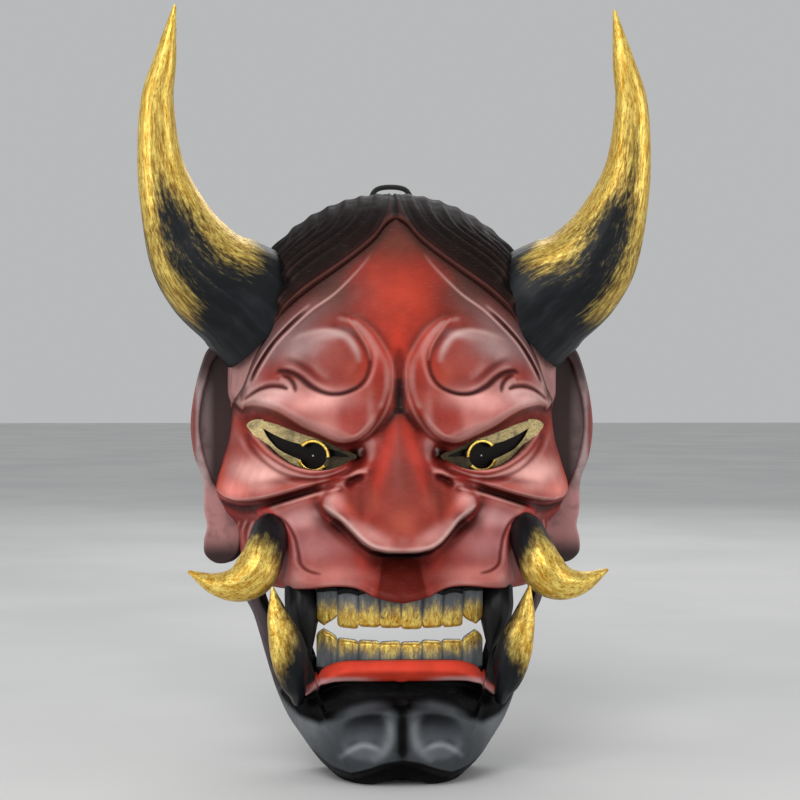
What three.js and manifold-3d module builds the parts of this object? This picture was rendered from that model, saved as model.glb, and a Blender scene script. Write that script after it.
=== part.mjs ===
// A carved oni mask: face, hair cap and lower jaw shells, with horns, ears, tusks, fangs,
// teeth, eyes, an elastic head strap with a slider, and a hanging loop.
// Millimetres, +Z up. The face looks along -Y, and +X is at the right of someone facing it.
// The origin is at brow height, on the middle plane, where the wearer's head is centred.

import * as THREE from 'three';
import { mergeVertices } from 'three/addons/utils/BufferGeometryUtils.js';
import Module from 'manifold-3d';

const wasm = await Module();
wasm.setup();

// ---------------------------------------------------------------- driving dimensions

const WALL = 4.5;            // thickness of the shells
const GAP = 0.4;             // clearance between pieces that touch
const SEAT = 1.6;            // clearance under a horn's foot and beside an ear
const PAD_SEAT = 1.8;        // clearance between a pad and the shell that it is glued to
const LOWEST_SEAT = -106;    // the ears and horns sit above this height
const ROUNDNESS = 2.3;       // exponent of the horizontal sections; 2 is an ellipse
const RIM_Y = 60;            // plane of the flat back rim
const CROWN_Z = 117;         // top of the hair cap
const TEMPLE_Z = 20;         // the crown dome starts here
const JAW_TURN_Z = -176;     // the chin turns under from here
const CHIN_Z = -203;         // lowest point
const CHIN_SQUARENESS = 10;  // exponent of the turn under the chin; 2 is round
const CHIN_ARCH = 8;         // how far the underside of the chin rises at the middle
const SHELL_COLUMNS = 30;    // steps from rim to rim, the same on every shell so that edges match

// Height, then half-width at the back rim.
const HALF_WIDTH = [
  [CHIN_Z, 30.5], [-196, 37.2], [-190, 43.4], [-182, 49.6], [JAW_TURN_Z, 54.2], [-169, 59.4],
  [-158, 65], [-146, 69.5], [-120, 78], [-105, 84.6],
  [-74, 88], [-62, 96], [-50, 101], [-34, 97], [-15, 92.5], [TEMPLE_Z, 92],
];
// Height, then the depth of the plain surface on the middle plane.
const FRONT = [
  [CHIN_Z, -55], [-190, -59.5], [JAW_TURN_Z, -61], [-140, -58], [-110, -58], [-90, -50],
  [-60, -38], [-20, -35], [TEMPLE_Z, -33],
];
// Height, then the depth of the back rim.
const RIM = [[CHIN_Z, -8], [JAW_TURN_Z, 4], [-120, 36], [-62, RIM_Y], [TEMPLE_Z, RIM_Y]];

// Relief on the plain surface, the same on both sides: centre x and z, radius in x and z,
// and height towards the viewer.
const RELIEF = [
  { name: 'brow swirl', x: 33, z: 22, across: 20, up: 17, height: 9 },
  { name: 'outer brow', x: 66, z: 8, across: 20, up: 11, height: 6 },
  { name: 'eye socket', x: 54, z: -27, across: 25, up: 11, height: -9 },
  { name: 'nose bridge', x: 0, z: -36, across: 11, up: 24, height: 15 },
  { name: 'nose tip', x: 0, z: -67, across: 15, up: 14, height: 34 },
  { name: 'nose wing', x: 27, z: -66, across: 11, up: 11, height: 15 },
  { name: 'cheek', x: 74, z: -36, across: 24, up: 15, height: 9 },
  { name: 'groove below the cheek', x: 70, z: -58, across: 24, up: 5, height: -5 },
  { name: 'muzzle', x: 42, z: -84, across: 24, up: 14, height: 9 },
  { name: 'upper lip', x: 0, z: -101, across: 30, up: 8, height: 10 },
  { name: 'lower lip', x: 0, z: -142, across: 60, up: 6, height: 9 },
  { name: 'groove below the lip', x: 0, z: -154, across: 50, up: 5, height: -6 },
  { name: 'corner of the mouth', x: 54, z: -128, across: 8, up: 16, height: -18 },
  { name: 'chin bulge', x: 20, z: -176, across: 17, up: 15, height: 9 },
  { name: 'chin groove', x: 0, z: -178, across: 4, up: 20, height: -5 },
];

// Edges of the shells, as height over the angle from the middle plane in degrees.
const HAIRLINE = [[0, 99], [4, 94], [9, 84], [20, 70], [33, 56], [44, 42], [55, 22], [66, 4], [90, -8]];
const LIP_EDGE = [
  [0, -104], [7, -101], [11, -97.8], [15, -96], [21, -95.6], [30, -96.8], [38, -97], [46, -97], [54, -96],
  [66, -90], [74, -87], [90, -84],
];
const JAW_EDGE = [
  [0, -132.5], [14, -133], [22, -134], [27, -136], [31, -138.5], [33.5, -141.5], [35, -143], [36.5, -133],
  [39, -125], [43, -120], [53, -117], [57, -111], [59, -105], [61, -98], [66, -92], [74, -87], [90, -84],
];

const HORN = {
  centre: [[70, 26, 44], [84, 22, 56], [101, 16, 68], [112, 12, 82], [121, 8, 102], [128, 5, 128],
    [129.5, 3, 161], [125, 2, 185], [120, 3, 214]],
  radius: [34, 32, 28, 24, 18, 12.5, 9, 6, 0.8],
  sides: 12, steps: 14,
};
const CHEEK_TUSK = {
  centre: [[65, -8, -68], [68, -24, -70], [70, -37, -78], [75, -44, -89], [84, -45, -95], [96.5, -40, -95],
    [110, -33, -89.5]],
  radius: [8, 9.5, 10.5, 11.5, 9.2, 5.4, 0.8],
  sides: 10, steps: 8,
};
const LOWER_TUSK = {
  centre: [[53, -36, -157], [53.6, -43, -151], [55, -49, -144.5], [56.4, -53, -136], [58.6, -56, -125],
    [62.8, -56, -111], [66, -55, -95.5]],
  radius: [4.5, 5.6, 7.2, 9.1, 9, 5.8, 0.7],
  sides: 8, steps: 7,
};
const UPPER_FANG = {
  centre: [[52, -27, -92], [51.5, -32, -102], [50, -37, -114], [46.5, -42, -131]],
  radius: [10, 9.8, 8, 0.7],
  sides: 8, steps: 4,
};

const EYE = {
  corner: [23, -28],         // inner corner of the plate: x, and depth of its front
  slope: 0.56,               // the plate turns back by this much for each mm outwards
  thickness: 3.5,
  pupil: [44.5, -29.5], pupilRadius: 6.6, ringRadius: 8.3,
  ringHeight: 1.6,
};
const EYE_OUTLINE = [
  [84, -15], [80, -12], [74, -11], [66, -12], [58, -15], [49, -18.8], [40, -21.5], [31, -25.5], [23, -29],
  [27, -34], [36, -38.5], [46, -39.5], [56, -37.5], [64, -33], [74, -25], [80, -19],
];
const OUTER_SLIT = [
  [75, -16], [69, -18.5], [60, -22.5], [54.5, -24.5], [54.5, -30.5], [62, -27.5], [70, -22],
];
const INNER_SLIT = [[34.8, -28.5], [28, -29.5], [34.8, -33]];

const EAR = {
  outline: [[99, 33], [107, 23], [112, 4], [114, -14], [112, -31], [107, -46], [106.5, -62], [105, -71],
    [106.5, -79], [106, -87], [99, -92], [84, -90]],
  front: 38, thickness: 12, recess: 5, rim: 4,
};

const TOOTH_ROW = { halfWidth: 42, count: 8, thickness: 7, columnsPerTooth: 3, bulge: 1.6 };
const UPPER_TEETH = { front: -52, root: -91, gap: -112.5, tip: -117, canine: -115.5 };
const LOWER_TEETH = { front: -50, root: -148, gap: -129, tip: -124, canine: -119.5 };

const STRAP = { width: 25, thickness: 1.8, height: 2, back: 142, straight: 46, anchorX: 83, anchorY: 46 };
const SLIDER = { length: 12, wall: 2.2, clearance: 0.5 };
const LOOP = { diameter: 3, halfSpan: 12, depth: 63.5, foot: 106.4, shoulder: 115, top: 123.5 };
const ANCHOR = { size: [34, 18, 8], centre: [0, 57.5, 102] };
const SCREW = { shank: 1.6, head: 3.6, headHeight: 2.4 };

const MATERIALS = {
  face: ['#a83a2c', 0.55, 0], hair: ['#2e2523', 0.6, 0], jaw: ['#2a2428', 0.55, 0],
  horn: ['#1c1e22', 0.4, 0.1], gold: ['#cda64a', 0.4, 0.4], eye: ['#c9bd84', 0.45, 0.2],
  ear: ['#4a2a28', 0.6, 0], foam: ['#2b2b2d', 0.95, 0], elastic: ['#161617', 0.9, 0],
  plastic: ['#101011', 0.5, 0], steel: ['#b9bcc0', 0.35, 1], cord: ['#131212', 0.85, 0],
};

// ---------------------------------------------------------------- small helpers

const mask = new THREE.Group();

function add(name, geometry, kind) {
  const [color, roughness, metalness] = MATERIALS[kind];
  const mesh = new THREE.Mesh(geometry, new THREE.MeshStandardMaterial({ color, roughness, metalness }));
  mesh.name = name;
  mask.add(mesh);
  return mesh;
}

// A piece and its mirror image on the other side of the middle plane.
function addPair(name, geometry, kind) {
  add(`${name}_right`, geometry, kind);
  add(`${name}_left`, mirrored(geometry), kind);
}

function mirrored(geometry) {
  const copy = plain(geometry);
  copy.scale(-1, 1, 1);
  const index = copy.index.array;
  for (let i = 0; i < index.length; i += 3) [index[i], index[i + 1]] = [index[i + 1], index[i]];
  return copy;
}

// The same geometry with positions only and shared vertices.
function plain(geometry) {
  const copy = geometry.clone();
  copy.deleteAttribute('normal');
  copy.deleteAttribute('uv');
  return mergeVertices(copy, 1e-4);
}

function toSolid(geometry) {
  const merged = plain(geometry);
  return new wasm.Manifold(new wasm.Mesh({
    numProp: 3,
    vertProperties: new Float32Array(merged.attributes.position.array),
    triVerts: new Uint32Array(merged.index.array),
  }));
}

function toGeometry(solid) {
  const { vertProperties, triVerts } = solid.getMesh();
  const geometry = new THREE.BufferGeometry();
  geometry.setAttribute('position', new THREE.BufferAttribute(new Float32Array(vertProperties), 3));
  geometry.setIndex(new THREE.BufferAttribute(new Uint32Array(triVerts), 1));
  return geometry;
}

const mix = (a, b, t) => a + (b - a) * t;
const ease = (t) => t * t * (3 - 2 * t);

// Value of a table of [position, value] rows at one position, eased between the rows.
function lookUp(table, at, blend = (t) => t) {
  if (at <= table[0][0]) return table[0][1];
  for (let i = 1; i < table.length; i += 1) {
    if (at <= table[i][0]) {
      const [fromAt, from] = table[i - 1];
      const [toAt, to] = table[i];
      return mix(from, to, blend((at - fromAt) / (toAt - fromAt)));
    }
  }
  return table[table.length - 1][1];
}

// A closed body between two grids of the same size. Degenerate triangles, where a row of the
// grid shrinks to a point, are left out.
function closedSkin(columns, rows, outer, inner) {
  const position = [];
  const index = [];
  for (const side of [outer, inner]) {
    for (let j = 0; j <= rows; j += 1) {
      for (let i = 0; i <= columns; i += 1) position.push(...side(i / columns, j / rows));
    }
  }
  const size = (columns + 1) * (rows + 1);
  const at = (i, j, side) => side * size + j * (columns + 1) + i;
  const point = (k) => new THREE.Vector3().fromArray(position, 3 * k);
  const triangle = (a, b, c) => {
    const [p, q, r] = [point(a), point(b), point(c)];
    if (q.clone().sub(p).cross(r.clone().sub(p)).length() > 1e-7) index.push(a, b, c);
  };
  const quad = (a, b, c, d) => {
    triangle(a, b, c);
    triangle(a, c, d);
  };
  for (let j = 0; j < rows; j += 1) {
    for (let i = 0; i < columns; i += 1) {
      quad(at(i, j, 0), at(i + 1, j, 0), at(i + 1, j + 1, 0), at(i, j + 1, 0));
      quad(at(i, j, 1), at(i, j + 1, 1), at(i + 1, j + 1, 1), at(i + 1, j, 1));
    }
    quad(at(0, j, 0), at(0, j + 1, 0), at(0, j + 1, 1), at(0, j, 1));
    quad(at(columns, j, 0), at(columns, j, 1), at(columns, j + 1, 1), at(columns, j + 1, 0));
  }
  for (let i = 0; i < columns; i += 1) {
    quad(at(i, 0, 0), at(i, 0, 1), at(i + 1, 0, 1), at(i + 1, 0, 0));
    quad(at(i, rows, 0), at(i + 1, rows, 0), at(i + 1, rows, 1), at(i, rows, 1));
  }
  const geometry = new THREE.BufferGeometry();
  geometry.setAttribute('position', new THREE.Float32BufferAttribute(position, 3));
  geometry.setIndex(index);
  return plain(geometry);
}

// A tapered body along a smooth line through the given centres, with a flat root and a blunt tip.
function taper({ centre, radius, sides, steps }, extra = 0) {
  const line = new THREE.CatmullRomCurve3(centre.map((p) => new THREE.Vector3(...p)));
  const girth = new THREE.CatmullRomCurve3(radius.map((r, i) => new THREE.Vector3(r, i, 0)));
  const position = [];
  const index = [];
  const up = new THREE.Vector3(0, 1, 0);
  for (let j = 0; j <= steps; j += 1) {
    const t = j / steps;
    const middle = line.getPoint(t);
    const along = line.getTangent(t);
    const across = new THREE.Vector3().crossVectors(along, up).normalize();
    const over = new THREE.Vector3().crossVectors(across, along).normalize();
    const r = Math.max(girth.getPoint(t).x, 0.6) + extra;
    for (let i = 0; i < sides; i += 1) {
      const turn = (2 * Math.PI * i) / sides;
      const p = middle.clone().addScaledVector(across, r * Math.cos(turn));
      p.addScaledVector(over, r * Math.sin(turn));
      position.push(p.x, p.y, p.z);
    }
  }
  const root = line.getPoint(0);
  const tip = line.getPoint(1);
  position.push(root.x, root.y, root.z, tip.x, tip.y, tip.z);
  const rootIndex = (steps + 1) * sides;
  for (let i = 0; i < sides; i += 1) {
    const next = (i + 1) % sides;
    for (let j = 0; j < steps; j += 1) {
      const [a, b, c, d] = [j * sides + i, j * sides + next, (j + 1) * sides + next, (j + 1) * sides + i];
      index.push(a, c, b, a, d, c);
    }
    index.push(rootIndex, i, next, rootIndex + 1, steps * sides + next, steps * sides + i);
  }
  const geometry = new THREE.BufferGeometry();
  geometry.setAttribute('position', new THREE.Float32BufferAttribute(position, 3));
  geometry.setIndex(index);
  return geometry;
}

// An outline in x and z, made solid from the given front depth backwards.
function slab(outline, front, thickness, holes = []) {
  const shape = new THREE.Shape(outline.map(([x, z]) => new THREE.Vector2(x, z)));
  shape.holes = holes;
  const geometry = new THREE.ExtrudeGeometry(shape, {
    depth: thickness, bevelEnabled: false, curveSegments: 7,
  });
  geometry.rotateX(Math.PI / 2);
  geometry.translate(0, front + thickness, 0);
  return geometry;
}

function box([x, y, z], [cx, cy, cz]) {
  return new THREE.BoxGeometry(x, y, z).translate(cx, cy, cz);
}

// ---------------------------------------------------------------- the shells

// The horizontal section at one height. It narrows to a point at the crown and turns under the chin.
function section(z, inset) {
  const crown = Math.max(0, (z - TEMPLE_Z) / (CROWN_Z - inset - TEMPLE_Z));
  const chin = Math.max(0, (JAW_TURN_Z - z) / (JAW_TURN_Z - CHIN_Z - inset));
  const size = Math.sqrt(Math.max(0, 1 - crown * crown))
    * Math.max(0, 1 - chin ** CHIN_SQUARENESS) ** (1 / CHIN_SQUARENESS);
  const rim = lookUp(RIM, z, ease);
  return {
    halfWidth: (lookUp(HALF_WIDTH, z) - inset) * size,
    depth: (rim - lookUp(FRONT, z, ease) - inset) * size,
    rim,
  };
}

function relief(x, z) {
  return RELIEF.reduce((sum, { x: cx, z: cz, across, up, height }) => (
    sum + height * Math.exp(-(((Math.abs(x) - cx) / across) ** 2) - ((z - cz) / up) ** 2)
  ), 0);
}

// A point on the surface. The turn runs from -90 degrees at the left rim to 90 at the right rim,
// inset moves it inwards, and share is how much of the raised relief it follows.
function surfacePoint(turn, z, inset = 0, share = 1) {
  const { halfWidth, depth, rim } = section(z, inset);
  const power = 2 / ROUNDNESS;
  const cosine = Math.max(0, Math.cos(turn) - 1e-6);
  const x = Math.sign(turn) * halfWidth * Math.abs(Math.sin(turn)) ** power;
  const raised = relief(x, z) * Math.min(1, 2.5 * cosine);
  const under = Math.max(0, (JAW_TURN_Z - z) / (JAW_TURN_Z - CHIN_Z));
  const arch = CHIN_ARCH * under ** 2 * Math.exp(-((x / 18) ** 2));
  return [x, rim - depth * cosine ** power - (raised > 0 ? share * raised : raised), z + arch];
}

// A shell between two edges, each given as height over angle.
function shell(rows, lowEdge, highEdge, lowGap, highGap, wall = WALL) {
  const grid = (inset, share) => (u, v) => {
    const turn = mix(-Math.PI / 2, Math.PI / 2, u);
    const degrees = Math.abs(THREE.MathUtils.radToDeg(turn));
    const low = (typeof lowEdge === 'number' ? lowEdge : lookUp(lowEdge, degrees)) + lowGap;
    const high = (typeof highEdge === 'number' ? highEdge : lookUp(highEdge, degrees)) - highGap;
    const z = mix(low, high, v);
    const squeezed = THREE.MathUtils.clamp(z, CHIN_Z + inset, CROWN_Z - inset);
    return surfacePoint(turn, squeezed, inset, share);
  };
  return closedSkin(SHELL_COLUMNS, rows, grid(0, 1), grid(wall, 0.75));
}

// Everything behind the outer surface, grown by the seating clearance: outside pieces are cut by it.
function headVolume() {
  const outer = (u, v) => {
    const z = mix(LOWEST_SEAT, CROWN_Z, Math.sin((v * Math.PI) / 2));
    const [x, y] = surfacePoint(mix(-Math.PI / 2, Math.PI / 2, u), z);
    return [x * (1 + SEAT / 80), y - SEAT, z + SEAT];
  };
  const behind = (u, v) => {
    const [x, , z] = outer(u, v);
    return [x, RIM_Y + 30, z];
  };
  return toSolid(closedSkin(SHELL_COLUMNS, 54, outer, behind));
}

const head = headVolume();
const cheekTuskRoot = toSolid(taper(CHEEK_TUSK, GAP));
const lowerTuskRoot = toSolid(taper(LOWER_TUSK, GAP));
const fangRoot = toSolid(taper(UPPER_FANG, GAP));
const bothSides = (solid) => solid.add(toSolid(mirrored(toGeometry(solid))));

// ---------------------------------------------------------------- fasteners

// A pan-head screw with its head's underside at one point, pointing along a direction.
function screw(start, direction, length, extra = 0) {
  const { shank, head: headRadius, headHeight } = SCREW;
  const profile = [
    [0, -headHeight - extra], [headRadius + extra, -headHeight - extra], [headRadius + extra, extra],
    [shank + extra, extra], [shank + extra, length + extra], [0, length + extra],
  ];
  const geometry = new THREE.LatheGeometry(profile.map(([r, h]) => new THREE.Vector2(r, h)), 8);
  const turn = new THREE.Quaternion().setFromUnitVectors(
    new THREE.Vector3(0, 1, 0),
    new THREE.Vector3(...direction).normalize(),
  );
  return geometry.applyQuaternion(turn).translate(...start);
}

const HORN_SCREW = [[66, 33, 45], [0.8, -0.15, 0.58], 26];
const EAR_SCREW = [[86.6, 46.5, -30], [1, 0, 0], 18];
const STRAP_SCREW = [[82.6, STRAP.anchorY, STRAP.height], [1, 0, 0], 6];
const screwHoles = [HORN_SCREW, EAR_SCREW, STRAP_SCREW]
  .map(([start, direction, length]) => toSolid(screw(start, direction, length, GAP)))
  .reduce((all, hole) => all.add(hole));

// ---------------------------------------------------------------- eyes

// An outline moved to its right-hand side, which is outwards when it runs anticlockwise.
function grown(outline, distance) {
  return outline.map((point, i) => {
    const [x0, z0] = outline[(i + outline.length - 1) % outline.length];
    const [x1, z1] = outline[(i + 1) % outline.length];
    const length = Math.hypot(x1 - x0, z1 - z0);
    return [point[0] + (distance * (z1 - z0)) / length, point[1] - (distance * (x1 - x0)) / length];
  });
}

// Turns the front of a piece back towards the side of the head, as the eyes are.
function slantEye(geometry) {
  const position = geometry.attributes.position;
  for (let i = 0; i < position.count; i += 1) {
    const back = EYE.corner[1] + EYE.slope * (position.getX(i) - EYE.corner[0]);
    position.setY(i, position.getY(i) + back);
  }
  return geometry;
}

function eyePlate() {
  const pupil = new THREE.Path().absarc(...EYE.pupil, EYE.pupilRadius, 0, 2 * Math.PI);
  const slits = [OUTER_SLIT, INNER_SLIT].map(
    (points) => new THREE.Path(points.map(([x, z]) => new THREE.Vector2(x, z))),
  );
  return slantEye(slab(EYE_OUTLINE, 0, EYE.thickness, [pupil, ...slits]));
}

function irisRing() {
  const back = -GAP;
  const front = back - EYE.ringHeight;
  const profile = [
    [EYE.pupilRadius, back], [EYE.pupilRadius, front], [EYE.ringRadius, front], [EYE.ringRadius, back],
    [EYE.pupilRadius, back],
  ];
  const ring = new THREE.LatheGeometry(profile.map(([r, y]) => new THREE.Vector2(r, y)), 18);
  return slantEye(ring.translate(EYE.pupil[0], 0, EYE.pupil[1]));
}

const eyeOpening = toSolid(slantEye(slab(grown(EYE_OUTLINE, GAP), -30, 60)));

// ---------------------------------------------------------------- shells, horns, tusks

const cuts = bothSides(
  eyeOpening.add(cheekTuskRoot).add(lowerTuskRoot).add(fangRoot).add(screwHoles),
);
// The cut shell without the slivers that fall off beside a hole.
const cut = (geometry) => toGeometry(toSolid(geometry).subtract(cuts).decompose()
  .reduce((largest, body) => (body.volume() > largest.volume() ? body : largest)));
const seam = GAP / 2;
add('face_shell', cut(shell(20, LIP_EDGE, HAIRLINE, seam, seam)), 'face');
add('hair_cap', cut(shell(7, HAIRLINE, CROWN_Z, seam, 0)), 'hair');
add('lower_jaw', cut(shell(14, CHIN_Z, JAW_EDGE, 0, seam)), 'jaw');

addPair('horn', toGeometry(toSolid(taper(HORN)).subtract(head).subtract(screwHoles)), 'horn');
addPair('cheek_tusk', taper(CHEEK_TUSK), 'gold');
addPair('lower_tusk', taper(LOWER_TUSK), 'gold');
addPair('upper_fang', taper(UPPER_FANG), 'horn');

addPair('eye_plate', eyePlate(), 'eye');
addPair('iris_ring', irisRing(), 'gold');

// ---------------------------------------------------------------- ears

// A flat carved plate beside the head, with a shallow hollow inside its rim.
function earPlate() {
  const { outline, front, thickness, recess, rim } = EAR;
  const inner = outline.map(([x, z]) => [x - rim, z]);
  const plate = toSolid(slab([...outline, [84, 28]], front, thickness));
  const bed = grown([...inner.slice(1, -2), [90, -80], [90, 10]], 1);
  const hollow = toSolid(slab(bed, front - 1, recess + 1));
  const hornFoot = toSolid(taper(HORN, SEAT));
  return toGeometry(plate.subtract(hollow).subtract(head).subtract(hornFoot).subtract(screwHoles));
}

addPair('ear', earPlate(), 'ear');

// ---------------------------------------------------------------- teeth

// One carved strip of teeth, bowed with the mouth. Between two teeth the edge steps back.
function toothStrip({ front, root, gap, tip, canine }) {
  const { halfWidth, count, thickness, columnsPerTooth, bulge } = TOOTH_ROW;
  const columns = count * columnsPerTooth;
  const strip = (setBack) => (u, v) => {
    const x = mix(-halfWidth, halfWidth, u);
    const place = (u * count) % 1;
    const middle = Math.sin(Math.PI * place);
    const isCanine = u * count < 1 || u * count > count - 1;
    const end = mix(gap, isCanine ? canine : tip, middle > 1e-6 ? Math.sqrt(middle) : 0);
    const y = front + (x * x) / 150 - (setBack ? -thickness : bulge * middle);
    return [x, y, mix(root, end, v)];
  };
  return root > tip
    ? closedSkin(columns, 2, (u, v) => strip(false)(u, 1 - v), (u, v) => strip(true)(u, 1 - v))
    : closedSkin(columns, 2, strip(false), strip(true));
}

const upperLip = toSolid(shell(20, LIP_EDGE, HAIRLINE, -SEAT, 0, WALL + SEAT));
const lowerLip = toSolid(shell(14, CHIN_Z, JAW_EDGE, 0, -SEAT, WALL + SEAT));
const upperStrip = toSolid(toothStrip(UPPER_TEETH)).subtract(upperLip).subtract(bothSides(fangRoot));
const lowerStrip = toSolid(toothStrip(LOWER_TEETH)).subtract(lowerLip).subtract(bothSides(lowerTuskRoot));
add('upper_teeth', toGeometry(upperStrip), 'gold');
add('lower_teeth', toGeometry(lowerStrip), 'gold');

// ---------------------------------------------------------------- padding

// A foam pad that follows the inside of the shells.
function pad(fromTurn, toTurn, fromZ, toZ, thickness) {
  const layer = (inset) => (u, v) => surfacePoint(
    THREE.MathUtils.degToRad(mix(fromTurn, toTurn, u)),
    mix(fromZ, toZ, v),
    inset,
    0.7,
  );
  return closedSkin(6, 2, layer(WALL + PAD_SEAT), layer(WALL + PAD_SEAT + thickness));
}

add('forehead_pad', pad(-26, 26, 42, 64, 10), 'foam');
addPair('cheek_pad', pad(56, 70, -56, -42, 8), 'foam');
add('chin_pad', pad(-22, 22, -182, -164, 9), 'foam');

// ---------------------------------------------------------------- strap and slider

// Points along the middle of the strap, from one side wall round the back of the head.
function strapLine() {
  const { back, straight, anchorX, anchorY } = STRAP;
  const turns = 8;
  const bendDepth = 54;
  const half = [[anchorX, anchorY - 8], [anchorX, anchorY + 8]];
  for (let i = 0; i <= turns; i += 1) {
    const turn = (i / turns) * (Math.PI / 2);
    half.push([
      straight / 2 + (anchorX - straight / 2) * Math.cos(turn),
      back - bendDepth + bendDepth * Math.sin(turn),
    ]);
  }
  return [...half, ...half.map(([x, y]) => [-x, y]).reverse()];
}

function strap() {
  const line = strapLine();
  const last = line.length - 1;
  const side = (sign) => (u, v) => {
    const i = Math.round(u * last);
    const [x0, y0] = line[Math.max(0, i - 1)];
    const [x1, y1] = line[Math.min(last, i + 1)];
    const length = Math.hypot(x1 - x0, y1 - y0);
    const offset = (sign * STRAP.thickness) / 2 / length;
    return [
      line[i][0] - offset * (y1 - y0),
      line[i][1] + offset * (x1 - x0),
      STRAP.height + STRAP.width * (v - 0.5),
    ];
  };
  return toGeometry(toSolid(closedSkin(last, 1, side(-1), side(1))).subtract(bothSides(screwHoles)));
}

function slider() {
  const { length, wall, clearance } = SLIDER;
  const inside = [STRAP.thickness + 2 * clearance, STRAP.width + 2 * clearance];
  const centre = [0, STRAP.back, STRAP.height];
  const body = toSolid(box([length, inside[0] + 2 * wall, inside[1] + 2 * wall], centre));
  return toGeometry(body.subtract(toSolid(box([length + 2, ...inside], centre))));
}

add('head_strap', strap(), 'elastic');
add('strap_slider', slider(), 'plastic');
addPair('strap_screw', screw(...STRAP_SCREW), 'steel');
addPair('ear_screw', screw(...EAR_SCREW), 'steel');
addPair('horn_screw', screw(...HORN_SCREW), 'steel');

// ---------------------------------------------------------------- hanging loop

function hangingLoop() {
  const { diameter, halfSpan, depth, foot, shoulder, top } = LOOP;
  const bend = [halfSpan * 0.72, mix(shoulder, top, 0.8)];
  const centre = new THREE.CatmullRomCurve3([
    [-halfSpan, depth, foot], [-halfSpan, depth, shoulder], [-bend[0], depth, bend[1]],
    [0, depth, top],
    [bend[0], depth, bend[1]], [halfSpan, depth, shoulder], [halfSpan, depth, foot],
  ].map((p) => new THREE.Vector3(...p)));
  const ring = new THREE.Shape().absarc(0, 0, diameter / 2, 0, 2 * Math.PI);
  return new THREE.ExtrudeGeometry(ring, { steps: 14, extrudePath: centre, curveSegments: 4 });
}

add('loop_block', box(ANCHOR.size, ANCHOR.centre), 'hair');
add('hanging_loop', hangingLoop(), 'cord');

export default mask;
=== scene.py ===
"""The looks of a carved oni mask: finely carved shells and painted materials on its CAD frame.

Sizes in the carving code are millimetres, as in the design, and turn to metres when a mesh is made.
The face looks along -Y, +Z is up, and every carving mark is given on the right half and mirrored.
"""

import math

import bpy
import numpy as np
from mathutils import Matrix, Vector


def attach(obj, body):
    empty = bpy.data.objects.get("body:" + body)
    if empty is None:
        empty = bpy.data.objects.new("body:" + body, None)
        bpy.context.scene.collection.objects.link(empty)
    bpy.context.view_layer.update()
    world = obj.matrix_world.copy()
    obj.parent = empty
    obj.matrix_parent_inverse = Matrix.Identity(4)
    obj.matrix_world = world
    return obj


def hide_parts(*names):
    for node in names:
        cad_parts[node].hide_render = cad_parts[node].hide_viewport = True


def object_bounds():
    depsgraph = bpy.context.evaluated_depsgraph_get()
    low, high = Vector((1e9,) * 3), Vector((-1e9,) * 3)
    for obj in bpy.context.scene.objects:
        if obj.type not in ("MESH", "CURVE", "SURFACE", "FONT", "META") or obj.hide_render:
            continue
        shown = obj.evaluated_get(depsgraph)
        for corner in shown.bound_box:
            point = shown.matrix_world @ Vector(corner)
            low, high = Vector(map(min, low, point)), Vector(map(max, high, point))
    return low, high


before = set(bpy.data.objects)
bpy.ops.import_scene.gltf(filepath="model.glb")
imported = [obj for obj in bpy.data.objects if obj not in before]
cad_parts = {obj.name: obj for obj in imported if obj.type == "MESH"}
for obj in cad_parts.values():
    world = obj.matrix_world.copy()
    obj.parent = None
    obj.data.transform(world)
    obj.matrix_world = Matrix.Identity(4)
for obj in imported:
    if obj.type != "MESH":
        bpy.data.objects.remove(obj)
CAD_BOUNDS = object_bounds()
MM = 0.001
SIDES = (("right", 1), ("left", -1))

# ---------------------------------------------------------------- the shells' driving sizes

WALL = 4.5
ROUNDNESS = 2.3
RIM_Y = 60
CROWN_Z = 117
TEMPLE_Z = 20
JAW_TURN_Z = -176
CHIN_Z = -203
CHIN_SQUARENESS = 10
CHIN_ARCH = 8
SEAM = 0.15

HALF_WIDTH = [
    (CHIN_Z, 30.5), (-196, 37.2), (-190, 43.4), (-182, 49.6), (JAW_TURN_Z, 54.2), (-169, 59.4),
    (-158, 65), (-146, 69.5), (-120, 78), (-105, 84.6), (-74, 88), (-62, 96), (-50, 101),
    (-34, 97), (-15, 92.5), (TEMPLE_Z, 92),
]
FRONT = [
    (CHIN_Z, -55), (-190, -59.5), (JAW_TURN_Z, -61), (-140, -58), (-110, -58), (-90, -50), (-60, -38),
    (-20, -35), (TEMPLE_Z, -33),
]
RIM = [(CHIN_Z, -8), (JAW_TURN_Z, 4), (-120, 36), (-62, RIM_Y), (TEMPLE_Z, RIM_Y)]

# Edges of the shells, as (degrees from the middle plane, height).
HAIRLINE = [(0, 99), (4, 94), (9, 84), (20, 70), (33, 56), (44, 42), (55, 22), (66, 4), (90, -8)]
LIP_EDGE = [
    (0, -104), (7, -101), (11, -97.8), (15, -96), (21, -95.8), (30, -97.6), (38, -98.6),
    (46, -98.8), (54, -97.6), (66, -90.4), (74, -87), (90, -84),
]
JAW_EDGE = [
    (0, -132.5), (14, -133), (22, -134), (27, -136), (31, -138.5), (33.5, -141.5), (35, -143),
    (36.5, -133),
    (39, -125), (43, -120), (53, -117), (57, -111), (59, -105), (61, -98), (66, -92), (74, -87),
    (90, -84),
]
# The face's top edge is tucked this far under the hair.
FACE_TUCK = 1.2
FACE_TOP = [(degrees, z + FACE_TUCK) for degrees, z in HAIRLINE]

# ---------------------------------------------------------------- number helpers


def ease(t):
    t = np.clip(t, 0, 1)
    return t * t * (3 - 2 * t)


def mix(a, b, t):
    return a + (b - a) * t


def look_up(table, at):
    """Value of a table of (position, value) rows, along a smooth curve through the rows."""
    line = smooth_line(table, 400)
    return np.interp(at, line[:, 0], line[:, 1])


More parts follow.
